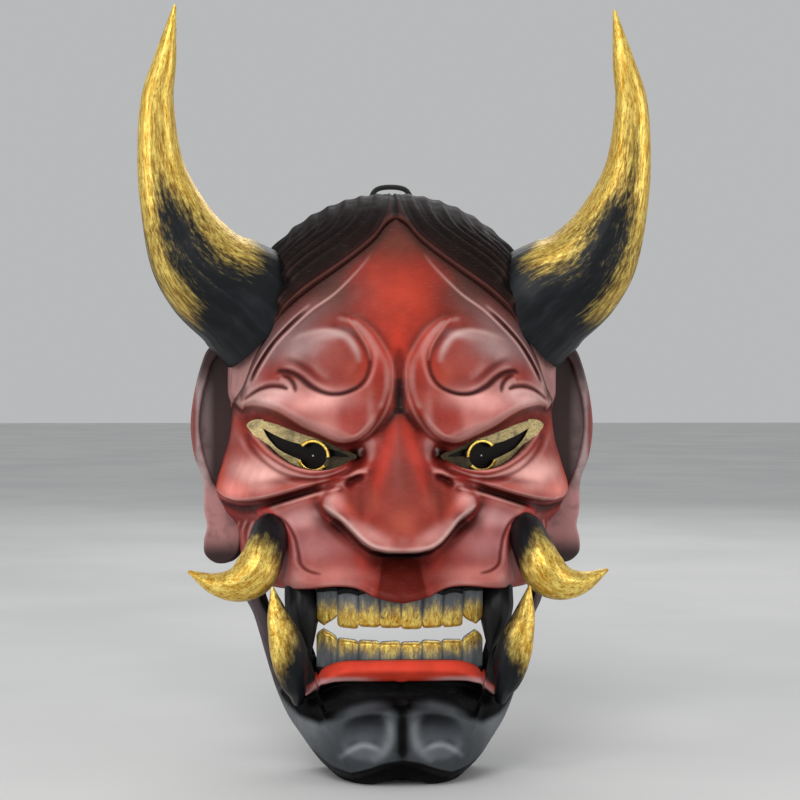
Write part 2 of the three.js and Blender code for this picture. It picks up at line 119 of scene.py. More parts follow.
def smooth_line(points, count=70):
    """Points along a smooth curve through the given ones, evenly spaced along its length."""
    p = np.array(points, float)
    p = np.vstack([2 * p[0] - p[1], p, 2 * p[-1] - p[-2]])
    fine = []
    for i in range(1, len(p) - 2):
        for t in np.linspace(0, 1, 16, endpoint=False):
            a, b, c, d = p[i - 1], p[i], p[i + 1], p[i + 2]
            fine.append(
                0.5 * (2 * b + (c - a) * t + (2 * a - 5 * b + 4 * c - d) * t**2
                       + (3 * b - a - 3 * c + d) * t**3)
            )
    fine.append(p[-2])
    fine = np.array(fine)
    steps = np.concatenate([[0], np.cumsum(np.linalg.norm(np.diff(fine, axis=0), axis=1))])
    even = np.linspace(0, steps[-1], count)
    return np.stack([np.interp(even, steps, fine[:, k]) for k in range(fine.shape[1])], axis=1)


def blur(values, reach):
    """Mean of a grid's values over a square window, by sliding sums along each axis."""
    for axis in (0, 1):
        pad = [(0, 0), (0, 0)]
        pad[axis] = (reach + 1, reach)
        sums = np.cumsum(np.pad(values, pad, mode="edge"), axis=axis)
        size = values.shape[axis]
        high = np.take(sums, np.arange(2 * reach + 1, 2 * reach + 1 + size), axis=axis)
        low = np.take(sums, np.arange(size), axis=axis)
        values = (high - low) / (2 * reach + 1)
    return values


def smoothed(height, reach):
    """A height grid with its corners softened over a few places each way."""
    return blur(blur(height, reach), reach)


def closed_line(points, count):
    """A smooth closed outline through the given points."""
    p = [tuple(q) for q in points]
    line = smooth_line([p[-1], *p, p[0], p[1]], 6 * count)
    start = np.argmin(np.linalg.norm(line[: 3 * count] - p[0], axis=1))
    end = len(line) - 1 - np.argmin(np.linalg.norm(line[::-1][: 3 * count] - p[0], axis=1))
    return line[np.linspace(start, end, count, endpoint=False).astype(int)]


def sides_of(outline):
    """Each straight side of a closed outline: its first end, and the step to the next."""
    for (ax, az), (bx, bz) in zip(outline, np.roll(outline, -1, axis=0)):
        yield ax, az, bx - ax, bz - az


def inside(outline, x, z):
    """Which places lie inside a closed outline."""
    found = np.zeros(x.shape, bool)
    for ax, az, dx, dz in sides_of(outline):
        if dz != 0:
            found ^= ((az > z) != (az + dz > z)) & (x < ax + (z - az) * dx / dz)
    return found


# ---------------------------------------------------------------- carving marks


# Farther than any place on the shells lies from any line.
FAR = 1e9


class Carving:
    """Heights in mm towards the viewer over places x (from the middle plane) and z."""

    def __init__(self, x, z):
        self.x, self.z = np.abs(x), z
        self.height = np.zeros_like(self.x)

    def nearest(self, points, reach):
        """The places within reach of a smooth line: distance, share along it, and side."""
        line = smooth_line(points, 60)
        low, high = line.min(axis=0) - reach, line.max(axis=0) + reach
        near = (self.x > low[0]) & (self.x < high[0]) & (self.z > low[1]) & (self.z < high[1])
        x, z = self.x[near], self.z[near]
        best = np.full(x.shape, FAR)
        along = np.zeros(x.shape)
        side = np.zeros(x.shape)
        for i in range(len(line) - 1):
            (ax, az), (bx, bz) = line[i], line[i + 1]
            dx, dz = bx - ax, bz - az
            t = np.clip(((x - ax) * dx + (z - az) * dz) / (dx * dx + dz * dz), 0, 1)
            gap = np.hypot(x - ax - t * dx, z - az - t * dz)
            closer = gap < best
            best[closer] = gap[closer]
            along[closer] = (i + t[closer]) / (len(line) - 1)
            cross = dx * (z - az) - dz * (x - ax)
            side[closer] = np.sign(cross[closer])
        return near, best, along, side

    def fold(self, points, height, left, right, fade=0.12):
        """A ridge along a line, or a groove where height is negative. Its flanks are left and
        right mm wide on the two sides of someone walking along it; a list varies along the line."""
        tallest = max(np.max(left), np.max(right))
        near, gap, along, side = self.nearest(points, 2.6 * tallest)

        def vary(value):
            value = np.atleast_1d(np.asarray(value, float))
            return np.interp(along, np.linspace(0, 1, len(value)), value)

        width = np.where(side > 0, vary(left), vary(right))
        ends = ease(along / fade) * ease((1 - along) / fade) if fade else 1
        self.height[near] += vary(height) * np.exp(-((gap / width) ** 2)) * ends

    def depth_inside(self, outline):
        """Distance in mm to a closed outline: positive inside it, negative outside it."""
        edge = np.full(self.x.shape, FAR)
        for ax, az, dx, dz in sides_of(outline):
            x, z = self.x - ax, self.z - az
            t = np.clip((x * dx + z * dz) / (dx * dx + dz * dz + 1e-9), 0, 1)
            np.minimum(edge, (x - t * dx) ** 2 + (z - t * dz) ** 2, out=edge)
        return np.sqrt(edge) * np.where(inside(outline, self.x, self.z), 1, -1)

    def bump(self, x, z, across, up, height, turn=0, power=2):
        """A rounded swelling, or a hollow where height is negative."""
        c, s = math.cos(math.radians(turn)), math.sin(math.radians(turn))
        dx, dz = self.x - x, self.z - z
        u, v = (dx * c + dz * s) / across, (dz * c - dx * s) / up
        self.height += height * np.exp(-((u * u + v * v) ** (power / 2)))


def hollows_and_edges(height, reach):
    """How far each place lies below or above its surroundings, from 0 to 1 each."""
    differ = height - smoothed(height, reach)
    scale = 0.3 * reach ** 0.9
    return np.clip(-differ / scale, 0, 1), np.clip(differ / scale, 0, 1)


# ---------------------------------------------------------------- the plain surface of the shells


def section(z, inset):
    """Half-width, depth and rim of the horizontal section at each height."""
    crown = np.maximum(0, (z - TEMPLE_Z) / (CROWN_Z - inset - TEMPLE_Z))
    chin = np.maximum(0, (JAW_TURN_Z - z) / (JAW_TURN_Z - CHIN_Z - inset))
    size = np.sqrt(np.clip(1 - crown**2, 0, 1))
    size *= np.clip(1 - chin**CHIN_SQUARENESS, 0, 1) ** (1 / CHIN_SQUARENESS)
    rim = look_up(RIM, z)
    return (look_up(HALF_WIDTH, z) - inset) * size, (rim - look_up(FRONT, z) - inset) * size, rim


def off_middle(turn):
    """How far each place is turned from the middle plane, in degrees."""
    return np.abs(np.degrees(turn))


def plain_surface(turn, z, inset=0.0):
    """Points on the surface without its carving, as three arrays."""
    half_width, depth, rim = section(z, inset)
    power = 2 / ROUNDNESS
    cosine = np.clip(np.cos(turn), 0, 1)
    x = np.sign(turn) * half_width * np.abs(np.sin(turn)) ** power
    return x, rim - depth * cosine**power, z


def chin_arch(x, z):
    """How far the underside of the chin is raised towards its middle."""
    under = np.clip((JAW_TURN_Z - z) / (JAW_TURN_Z - CHIN_Z), 0, 1)
    return CHIN_ARCH * under**2 * np.exp(-((x / 18) ** 2))


def shell_grid(low_edge, high_edge, columns, rows, crown=False):
    """The turn and the height of every place on a shell's grid."""
    turn = np.radians(np.linspace(-90, 90, columns + 1))[None, :]
    degrees = off_middle(turn)
    share = np.linspace(0, 1, rows + 1)[:, None]
    low = (look_up(low_edge, degrees) if isinstance(low_edge, list) else low_edge) + SEAM
    high = (look_up(high_edge, degrees) if isinstance(high_edge, list) else high_edge) - SEAM
    if crown:
        share = np.sin(share * math.pi / 2)
    elif not isinstance(low_edge, list):
        share = 1 - np.cos(share * math.pi / 2)
    z = mix(low, high, share) + 0 * turn
    return turn + 0 * z, z


# ---------------------------------------------------------------- the face's carving


# Lines on the face's right half, as x and z, that are both carved and painted.
NOSE_RIM = [
    (0, -75.4), (9, -74.6), (15, -73), (20, -70), (25, -65.6), (30, -61), (36, -57), (40, -53.6),
]
NOSE_EDGE = ([0, 8, 15, 20, 25, 30, 36, 40, 44, 50],
             [-75.6, -75.4, -73.8, -71, -66.6, -62.2, -58, -54.8, -52.4, -51])
WING_GROOVE = [(33.5, -43), (38.5, -48.5), (40.8, -53.7), (40.6, -57.5), (38.8, -60.8), (35.5, -64)]
NOSE_PIT = [(18.6, -38.8), (24, -42), (29, -45.2)]
SWIRL = [
    (26.9, 42.4), (23.1, 37.2), (18.9, 31), (15.9, 24.8), (15.3, 19.6), (16.9, 12.9), (20.5, 7.8),
    (25.7, 4.7), (31.9, 3.1), (38.6, 3.6), (46.3, 7.2), (51.5, 11.4), (56.7, 14.3), (61.8, 15.3),
    (66.5, 14.2),
]
LOBE_EDGE = [
    (28.2, 45.2), (23.1, 43.6), (17.9, 40.4), (12.7, 35.2), (8.1, 28.4), (4.8, 21.7), (3.4, 14.5),
    (3.6, 7.2), (5.2, 0), (8.1, -7.2), (12.7, -14), (17.9, -19.3), (23.6, -22.4), (30.8, -23.6),
    (37, -21.8), (43.7, -18.6), (51.5, -15), (58.2, -10.6), (64.4, -7), (72.2, -4.2), (79, -3.8),
    (85, -6),
]
LOBE_LOW = ([16, 23.6, 30.8, 37, 43.7, 51.5, 58.2, 64.4, 72.2, 79, 88],
            [-18, -22.4, -23.6, -21.8, -18.6, -15, -10.6, -7, -4.2, -3.8, -8])
ORB_CREST = [(60, 30), (50, 34.5), (38, 36.4), (28, 33.4), (22.4, 26), (21, 18)]
BARB = [(54.1, 3.4), (55.4, 8.4), (58.2, 11.9), (62.4, 13.6)]
HOOK = [(57.7, 5.7), (61.8, 6.9), (67, 7.3), (72.2, 6.2), (77.4, 3.6), (83, -0.6)]
LID = [
    (81, -15), (76, -20.9), (70, -27.2), (62, -32.4), (54, -36), (46.3, -37.4), (38, -36.6),
    (30, -33.8),
]
CREASE = [
    (103, -55), (93, -58), (84, -59.4), (76, -58), (68, -55.6), (60, -52.6), (50, -49.4),
    (40, -46.6), (31, -44.2),
]
MUZZLE_TOP = [(74, -60.5), (67.5, -57.4), (57, -53.8), (46.3, -50.4), (36, -47.4), (30, -45.6)]
SOCKET = [
    (76, -62), (70.5, -58.6), (64.6, -61.8), (59.4, -68), (57.2, -75), (57, -83), (58.4, -91),
    (60, -97),
]
MUZZLE_LINE = [
    (66, -60.8), (59.6, -64.6), (55, -71.6), (53, -79), (51.6, -85.4), (47, -88.6), (40, -89.6),
]
TEMPLE_INNER = [
    (13, 80), (20, 70.5), (33, 57), (46, 47.6), (56, 38.6), (65, 29.4), (73, 17.4), (78, 8),
]
TEMPLE_OUTER = [(46, 51.6), (56, 43.2), (64, 35), (72, 25), (78.4, 14), (81.6, 5)]
TEMPLE_GAP = [(48, 48.3), (57.4, 39.8), (66.4, 30.6), (74.6, 18.4), (79.4, 8.6)]


def carve_nose(c):
    """A broad hooked nose. Its lower edge runs level round the tip and up over the wings."""
    tall = np.interp(c.x, [0, 8, 15, 20, 25, 30, 36, 39.4, 41.6, 44],
                     [37, 35.6, 31, 26.5, 21, 17, 13.4, 10, 4, 0])
    rise = np.interp(c.x, [0, 5, 10, 15, 20, 25, 30, 36, 40],
                     [37, 36, 31, 24, 18.5, 15.5, 13.5, 11.5, 10])
    above = c.z - np.interp(c.x, *NOSE_EDGE)
    shape = np.where(above > 0, np.exp(-np.abs(above / rise) ** 1.65), np.exp(-((above / 3) ** 2)))
    c.height += smoothed(tall * shape, 1)
    c.fold(NOSE_RIM, 0.5, 2.4, 0.9)
    c.fold([(0, 2), (0, -14), (0, -30), (0, -46)], [0.6, 1.4, 1.2, 0.4], 10, 10)
    c.fold(WING_GROOVE, [-1.2, -2, -2, -1.6], 1.6, 2.4, fade=0.15)
    c.bump(32, -65, 8, 4.6, -5.5, turn=38)
    c.bump(30, -60.5, 4, 3, -3, turn=38)
    c.bump(0, -82, 15, 4.5, -5)
    c.bump(14.5, -22.5, 4.4, 5, 3, turn=-20)
    c.bump(21.5, -28.5, 4, 3.6, -6)
    c.bump(21, -37.6, 4.6, 1.7, 2.6, turn=-24)
    c.fold(NOSE_PIT, -4.2, 2, 2, fade=0.3)
    c.fold([(28, -45), (33, -47.4), (40, -49)], -1.6, 1.6, 2, fade=0.3)


def carve_brow(c):
    """The swirled brow that hangs over the eye: one raised lobe with a crescent, an orb and lines."""
    edge = smooth_line(LOBE_EDGE, 260)
    lobe = closed_line([*edge[::6], (92, 2), (88, 16), (78, 28), (62, 40), (44, 48)], 420)
    depth = c.depth_inside(lobe)
    over = c.z - np.interp(c.x, *LOBE_LOW)
    bulge = 9 * np.exp(-((np.maximum(over, 0) / 21) ** 2)) * ease((c.x - 2) / 14)
    upper = np.interp(c.x, [0, 26, 34, 46, 60, 72, 84, 95], [90, 64, 50, 45, 38, 28, 12, 0])
    plateau = 2.4 * ease((upper - c.z) / 16)
    c.height += smoothed((bulge + plateau) * ease((depth + 0.4) / 3.2), 1)
    c.bump(50, -3, 26, 8, 2.4, turn=-19)
    c.fold(SWIRL, [-0.8, -1.4, -1.6, -1.8, -2.4, -2.6, -2.4, -1.6], 1.15, 1.15, fade=0.06)
    c.fold(SWIRL, [1.2, 1.1, 0.8, 0.2, 0], 1.2, 5, fade=0.05)
    c.bump(33.6, 21.6, 13.4, 13, 3.8, power=5)
    c.fold(ORB_CREST, [0.6, 1.2, 1.4, 1.0], 3.6, 1.8, fade=0.2)
    c.bump(50, 29, 17, 8, 2.6, turn=-22, power=3)
    tail = [(31, 8.6), (38.6, 11.4), (44.8, 17), (50.5, 21.3), (57, 23.6), (64, 23.5)]
    c.fold(tail, [0.8, 1.8, 2.2, 1.4], 7, 2.2, fade=0.25)
    c.fold([(33, 5.4), (40, 6.4), (46, 10.4), (51, 14.4), (57, 17.4), (64, 17.6)], 1.5, 3, 1.8,
           fade=0.25)
    c.fold(BARB, -2.2, 1.1, 1.1, fade=0.25)
    c.fold([(57.9, 5.9), (59.6, 9.6), (63.6, 10.8)], 1.2, 1.8, 1.8, fade=0.25)
    c.fold(HOOK, -2.4, 1.1, 1.1)
    c.fold([(58.5, 4), (66, 4.9), (72, 4), (77, 1.4), (83, -3)], 1.3, 1.6, 1.8)
    c.fold([(0, 30), (0, 12), (0, -8)], [-0.5, -2.6, -3.2], 2.6, 2.6)


def carve_eye(c):
    """The eye socket with the plate's bed, and the double rim of the lower lid."""
    bed = closed_line(EYE_OUTLINE, 160)
    c.height -= 6.5 * ease((c.depth_inside(bed) + 9) / 9)
    c.bump(82, -8, 9, 5, -2.6, turn=-30)
    lid = [(85, -14), (80, -18.1), (76.3, -24.3), (70.6, -30.2), (62.9, -35.4), (54, -38.8),
           (46.3, -40), (38.6, -39.2), (30, -36.4), (22, -32)]
    c.fold(lid, [1.6, 3.6, 4.4, 4.6, 4.4, 3.6, 1.6], 1.5, 8, fade=0.1)
    c.fold(LID, 1.7, 0.8, 0.9, fade=0.1)
    c.fold([(82, -15.8), (77.3, -22), (70.8, -28.4), (62.4, -33.8), (54, -37.3), (46, -38.6)],
           -1.2, 0.7, 0.7, fade=0.1)


def carve_cheek(c):
    """A full cheek cut off sharply below, over a dark crease and a hollow behind the tusk."""
    low_x = [0, 19, 25.7, 33.6, 41.5, 52, 62.5, 70.5, 78.4, 86.6, 93.5, 104]
    above = c.z - np.interp(
        c.x, low_x, [-34, -40.3, -41, -42, -44, -47.3, -50.6, -52.8, -54.5, -55.2, -54, -49])
    tall = np.interp(c.x, low_x, [0, 0, 1.2, 2.6, 4, 6, 8, 9.4, 10, 9.6, 7, 3])
    shape = ease((above + 0.3) / 1.6) * np.exp(-((np.maximum(above, 0) / 17) ** 2))
    c.height += smoothed(tall * shape, 1)
    c.bump(78, -38, 17, 9, 2)
    c.fold(CREASE, [-6, -8, -7, -5.5, -4, -3, -1.6], 3.2, 2.4, fade=0.12)
    c.bump(86, -68, 11, 11, -6, power=3)
    for x, z, tall in ((80.5, -77, 2.6), (84.5, -77, 2.4), (88.5, -78, 2)):
        c.fold([(x - 4, z + 13), (x - 0.6, z + 6), (x, z), (x - 1.4, z - 6)], tall, 1.1, 1.5, fade=0.25)


def philtrum(x, z):
    """The shallow trough from the nose to the lip, wider at the lip: 1 inside it, 0 outside."""
    half = mix(8.6, 13.4, np.clip((-80 - z) / 22, 0, 1))
    return ease(half - x + 0.5) * ease((-78 - z) / 3)


def carve_muzzle(c):
    """The muzzle's flat plane, the ridge round the cheek tusk, the philtrum and the upper lip."""
    c.bump(40, -82, 27, 19, 8, power=4)
    c.fold(MUZZLE_TOP, [2.5, 4.5, 4, 3.2, 2.4, 1], 6.5, 1.2, fade=0.12)
    c.fold(SOCKET, [2, 3.2, 3.6, 3.6, 3.4, 3, 2.4], 1.2, 4.5, fade=0.08)
    c.bump(69.5, -79, 9.5, 14, -6, power=4)
    c.fold(MUZZLE_LINE, [-0.8, -1.5, -1.6, -1.6, -1.3, -0.8], 0.8, 0.8, fade=0.12)
    c.fold([(0, -101.5), (12, -98.5), (20, -95.4), (28, -93.8), (38, -94.2), (48, -94.6), (58, -92)],
           2.4, 3.4, 6, fade=0.08)
    c.bump(0, -96, 17, 12, 6, power=3)
    c.height -= 1.5 * philtrum(c.x, c.z)


def carve_temple(c):
    """A double raised line below the hairline, and strands that run down behind the brow."""
    c.fold(TEMPLE_INNER, [0.3, 0.7, 1.3, 1.6, 1.6, 1.3], 0.9, 1.1, fade=0.14)
    c.fold(TEMPLE_OUTER, [0.6, 1.5, 1.7, 1.5], 0.9, 0.9, fade=0.14)
    c.fold(TEMPLE_GAP, [-0.8, -2, -2.6, -2], 1.1, 1.1, fade=0.14)
    for x, lean in ((83.5, 0), (87, 1.5), (90, 2.5)):
        c.fold([(x - 6, 30 - 2 * lean), (x, 14 - lean), (x + 1, -1 - lean)], -1.3, 1.1, 1.3)
        c.fold([(x - 4, 32 - lean), (x + 1.8, 15 - lean), (x + 2.8, -2)], 1.0, 1.0, 1.2)


def carve_face(x, z):
    c = Carving(x, z)
    for carve in (carve_nose, carve_brow, carve_eye, carve_cheek, carve_muzzle, carve_temple):
        carve(c)
    return smoothed(c.height, 1)


LIP_LINE = [
    (0, -137), (14, -137.2), (27, -138.2), (35.5, -141), (41.5, -146), (47, -150.8), (54, -152.8),
    (60, -150.5), (63.6, -144),
]
SPOON = [
    (5.4, -166), (6.4, -159.6), (12, -157.4), (20, -158), (27.4, -161.4), (31.4, -168), (31.6, -176),
    (27, -182), (19, -183.4), (11, -181.6), (6.6, -175),
]
SPOON_RIM = [(9, -180), (13.6, -176.4), (20, -175.2), (26.4, -178), (31, -182)]
LIP_LOW = ([0, 34, 41, 45, 49, 54, 60, 64],
           [-144.2, -144.8, -146.4, -150, -154, -156, -153, -147])
LIP_HIGH = ([41, 44, 50, 56, 62, 66], [-120, -144.6, -149.6, -151, -147.5, -141])
CHIN_TOP = ([0, 6, 16, 26, 34, 42, 52, 60, 66],
            [-156, -154.4, -154.4, -156, -160, -163.6, -162, -157, -150])
CHIN_LOW = ([0, 8, 16, 26, 36, 44, 60], [-183, -184.6, -188, -191.4, -189.4, -184, -180])


def carve_jaw(x, z):
    """The lower lip, the groove below it, and a cleft chin with two spoon-shaped hollows."""
    c = Carving(x, z)
    c.fold(LIP_LINE, [6, 6, 6, 5.4, 4.6, 4, 3.4, 2.4], [4.8, 4.8, 4.8, 4, 2, 1.6, 1.6],
           [4.2, 4, 3.2, 2, 1.6], fade=0)
    c.bump(54, -128, 8, 16, -18)
    under = [(0, -144.6), (16, -144.6), (27, -145.2), (34.5, -147.4), (41, -151.6), (48, -155.6),
             (56, -157), (63, -154)]
    c.fold(under, -3.6, 1.6, 3, fade=0.05)
    c.bump(0, -149.5, 44, 4, -3.6)
    below = np.interp(c.x, *CHIN_TOP) - c.z
    tall = np.interp(c.x, [0, 20, 40, 52, 62, 70], [8, 8, 7, 5, 3, 0])
    chin = ease((below + 2) / 7) * (1 - 0.35 * ease((below - 16) / 20))
    c.height += smoothed(tall * chin, 2)
    depth = c.depth_inside(closed_line(SPOON, 160))
    c.height -= smoothed(4.6 * ease((depth + 1.5) / 10), 2)
    c.fold(SPOON_RIM, [0.8, 2.4, 2.6, 1.6], 1.6, 6, fade=0.2)
    c.fold([(0, -153), (0, -166), (0, -181)], [-2.4, -4.6, -4], 3.4, 3.4)
    c.height -= 3 * ease((np.interp(c.x, *CHIN_LOW) - c.z) / 5)
    c.fold([(0, -184), (0, -203)], -4, 9, 9, fade=0.1)
    return smoothed(c.height, 1)


# ---------------------------------------------------------------- colour and meshes


def srgb(red, green, blue):
    """A colour given in 0 to 255 steps, as linear numbers."""
    c = np.array([red, green, blue], float) / 255
    return np.where(c <= 0.04045, c / 12.92, ((c + 0.055) / 1.055) ** 2.4)


def ground(tint, places):
    """A colour array with the same colour at every place."""
    return np.broadcast_to(srgb(*tint), places.shape + (3,)).copy()


def layer(colour, over, amount):
    """Paint over a colour array, by an amount from 0 to 1 at each place."""
    amount = np.clip(amount, 0, 1)[..., None]
    return colour * (1 - amount) + over * amount


def add_piece(name, data, material):
    """An object of the mask's body that shows a mesh or a curve in the given material."""
    data.materials.append(material)
    piece = bpy.data.objects.new(name, data)
    bpy.context.scene.collection.objects.link(piece)
    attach(piece, "mask")
    return piece


def make_mesh(name, points, faces, material, **attributes):
    """A smooth piece from points in mm and quads, with attributes on its points."""
    mesh = bpy.data.meshes.new(name)
    points = np.asarray(points, float).reshape(-1, 3) * MM
    faces = np.asarray(faces, int)
    mesh.vertices.add(len(points))
    mesh.vertices.foreach_set("co", points.astype(np.float32).ravel())
    mesh.loops.add(faces.size)
    mesh.loops.foreach_set("vertex_index", faces.ravel())
    mesh.polygons.add(len(faces))
    mesh.polygons.foreach_set("loop_start", np.arange(0, faces.size, faces.shape[1]))
    mesh.polygons.foreach_set("loop_total", np.full(len(faces), faces.shape[1]))
    mesh.polygons.foreach_set("use_smooth", np.ones(len(faces), bool))
    mesh.update(calc_edges=True)
    for key, values in attributes.items():
        values = np.asarray(values, np.float32)
        if values.shape[-1:] == (4,) and values.size == 4 * len(points):
            mesh.attributes.new(key, "FLOAT_COLOR", "POINT").data.foreach_set("color", values.ravel())
        elif values.size == 3 * len(points):
            mesh.attributes.new(key, "FLOAT_VECTOR", "POINT").data.foreach_set("vector", values.ravel())
        else:
            mesh.attributes.new(key, "FLOAT", "POINT").data.foreach_set("value", values.ravel())
    mesh.validate()
    return add_piece(name, mesh, material)


def flat(*grids):
    """The places of one or more grids of points, in a single list."""
    return np.concatenate([grid.reshape(-1, grid.shape[-1]) for grid in grids])


def grid_faces(keep):
    """Quads of an outer grid and its inner twin, and the walls that join them round each edge."""
    rows, columns = keep.shape
    j, i = np.nonzero(keep)
    wide = columns + 1
    size = (rows + 1) * wide
    a, b = j * wide + i, j * wide + i + 1
    d, c = a + wide, b + wide
    quads = [np.stack([a, b, c, d], 1), np.stack([a, d, c, b], 1) + size]
    padded = np.pad(keep, 1)
    for first, second, dj, di in ((a, b, -1, 0), (b, c, 0, 1), (c, d, 1, 0), (d, a, 0, -1)):
        edge = ~padded[j + 1 + dj, i + 1 + di]
        p, q = first[edge], second[edge]
        quads.append(np.stack([q, p, p + size, q + size], 1))
    return np.concatenate(quads)


# ---------------------------------------------------------------- eyes: shared outlines

EYE_CORNER = (23, -28)
EYE_SLOPE = 0.56
PUPIL = (45.2, -29.8)
PUPIL_RADIUS = 7.3
EYE_OUTLINE = [
    (80.4, -14.4), (77, -11.8), (72, -11.4), (65, -13), (58, -15.6), (49, -18.8), (40, -21.5),
    (31, -25.5), (23, -29), (27, -32.8), (36, -36.4), (46, -37), (56, -35), (64, -31),
    (73, -23.8), (77.6, -18.4),
]
EYE_BED = closed_line(EYE_OUTLINE, 220)
# How much larger the plates are than the openings they close, across and up.
PLATE_GROWTH = (1.03, 1.07)
# The gold rings' inner and outer edges, counted from the pupil's edge.
RING_EDGES = (-0.3, 1.5)
# The pinhole in the eyes' dark back layer, which stands in for the shade behind the openings.
PINHOLE_RADIUS = 0.5

# ---------------------------------------------------------------- the shells' two sides

# The carving inside a shell: how far it is smoothed, in places of the grid, how much of a raised
# mark it follows, how thin the wall may get from front to back, and the turn in degrees up to
# which that is kept.
INSIDE_REACH = 5
INSIDE_SHARE = 0.78
THIN_WALL = 0.55 * WALL
THIN_TURN = 72
# The hair's strands stand no higher than this above the crown.
CROWN_STRANDS = 2.5
# The carving reaches its full height where the cosine of the turn passes one over this.
GRIP = 2.5


def grip(turn):
    """How much of the carving counts at each turn: all of it in front, none at the rim."""
    return np.minimum(1, GRIP * np.clip(np.cos(turn), 0, 1))


def shell_points(turn, z, height, x_moved, z_moved, radial):
    """Outer and inner points of a shell carved by height, straight forward or radially."""
    x, y, _ = plain_surface(turn, z)
    outer = np.stack([x_moved, y - height * grip(turn), z_moved + chin_arch(x, z)], -1)
    if radial:
        outward = np.stack([x, y - RIM_Y, np.maximum(z - TEMPLE_Z, 0)], -1)
        outward /= np.linalg.norm(outward, axis=-1)[..., None]
        outer = np.stack([x, y, z], -1) + outward * height[..., None]
        outer[..., 1] = np.minimum(outer[..., 1], RIM_Y)
        outer[..., 2] = np.minimum(outer[..., 2], CROWN_Z + CROWN_STRANDS)
    soft = blur(height, INSIDE_REACH)
    soft = np.where(soft > 0, INSIDE_SHARE * soft, soft)
    xi, yi, zi = plain_surface(turn, np.clip(z, CHIN_Z + WALL, CROWN_Z - WALL), WALL)
    yi = yi - soft * grip(turn)
    front = np.abs(turn) < math.radians(THIN_TURN)
    yi = np.where(front, np.maximum(yi, outer[..., 1] + THIN_WALL), yi)
    return outer, np.stack([xi, yi, zi + chin_arch(xi, zi)], -1)


def roll_edge(distance, radius):
    """How far a surface curls back near its cut edge, in mm."""
    t = np.clip(1 - distance / radius, 0, 1)
    return radius * (1 - np.sqrt(1 - 0.98 * t * t))


# ---------------------------------------------------------------- the three shells


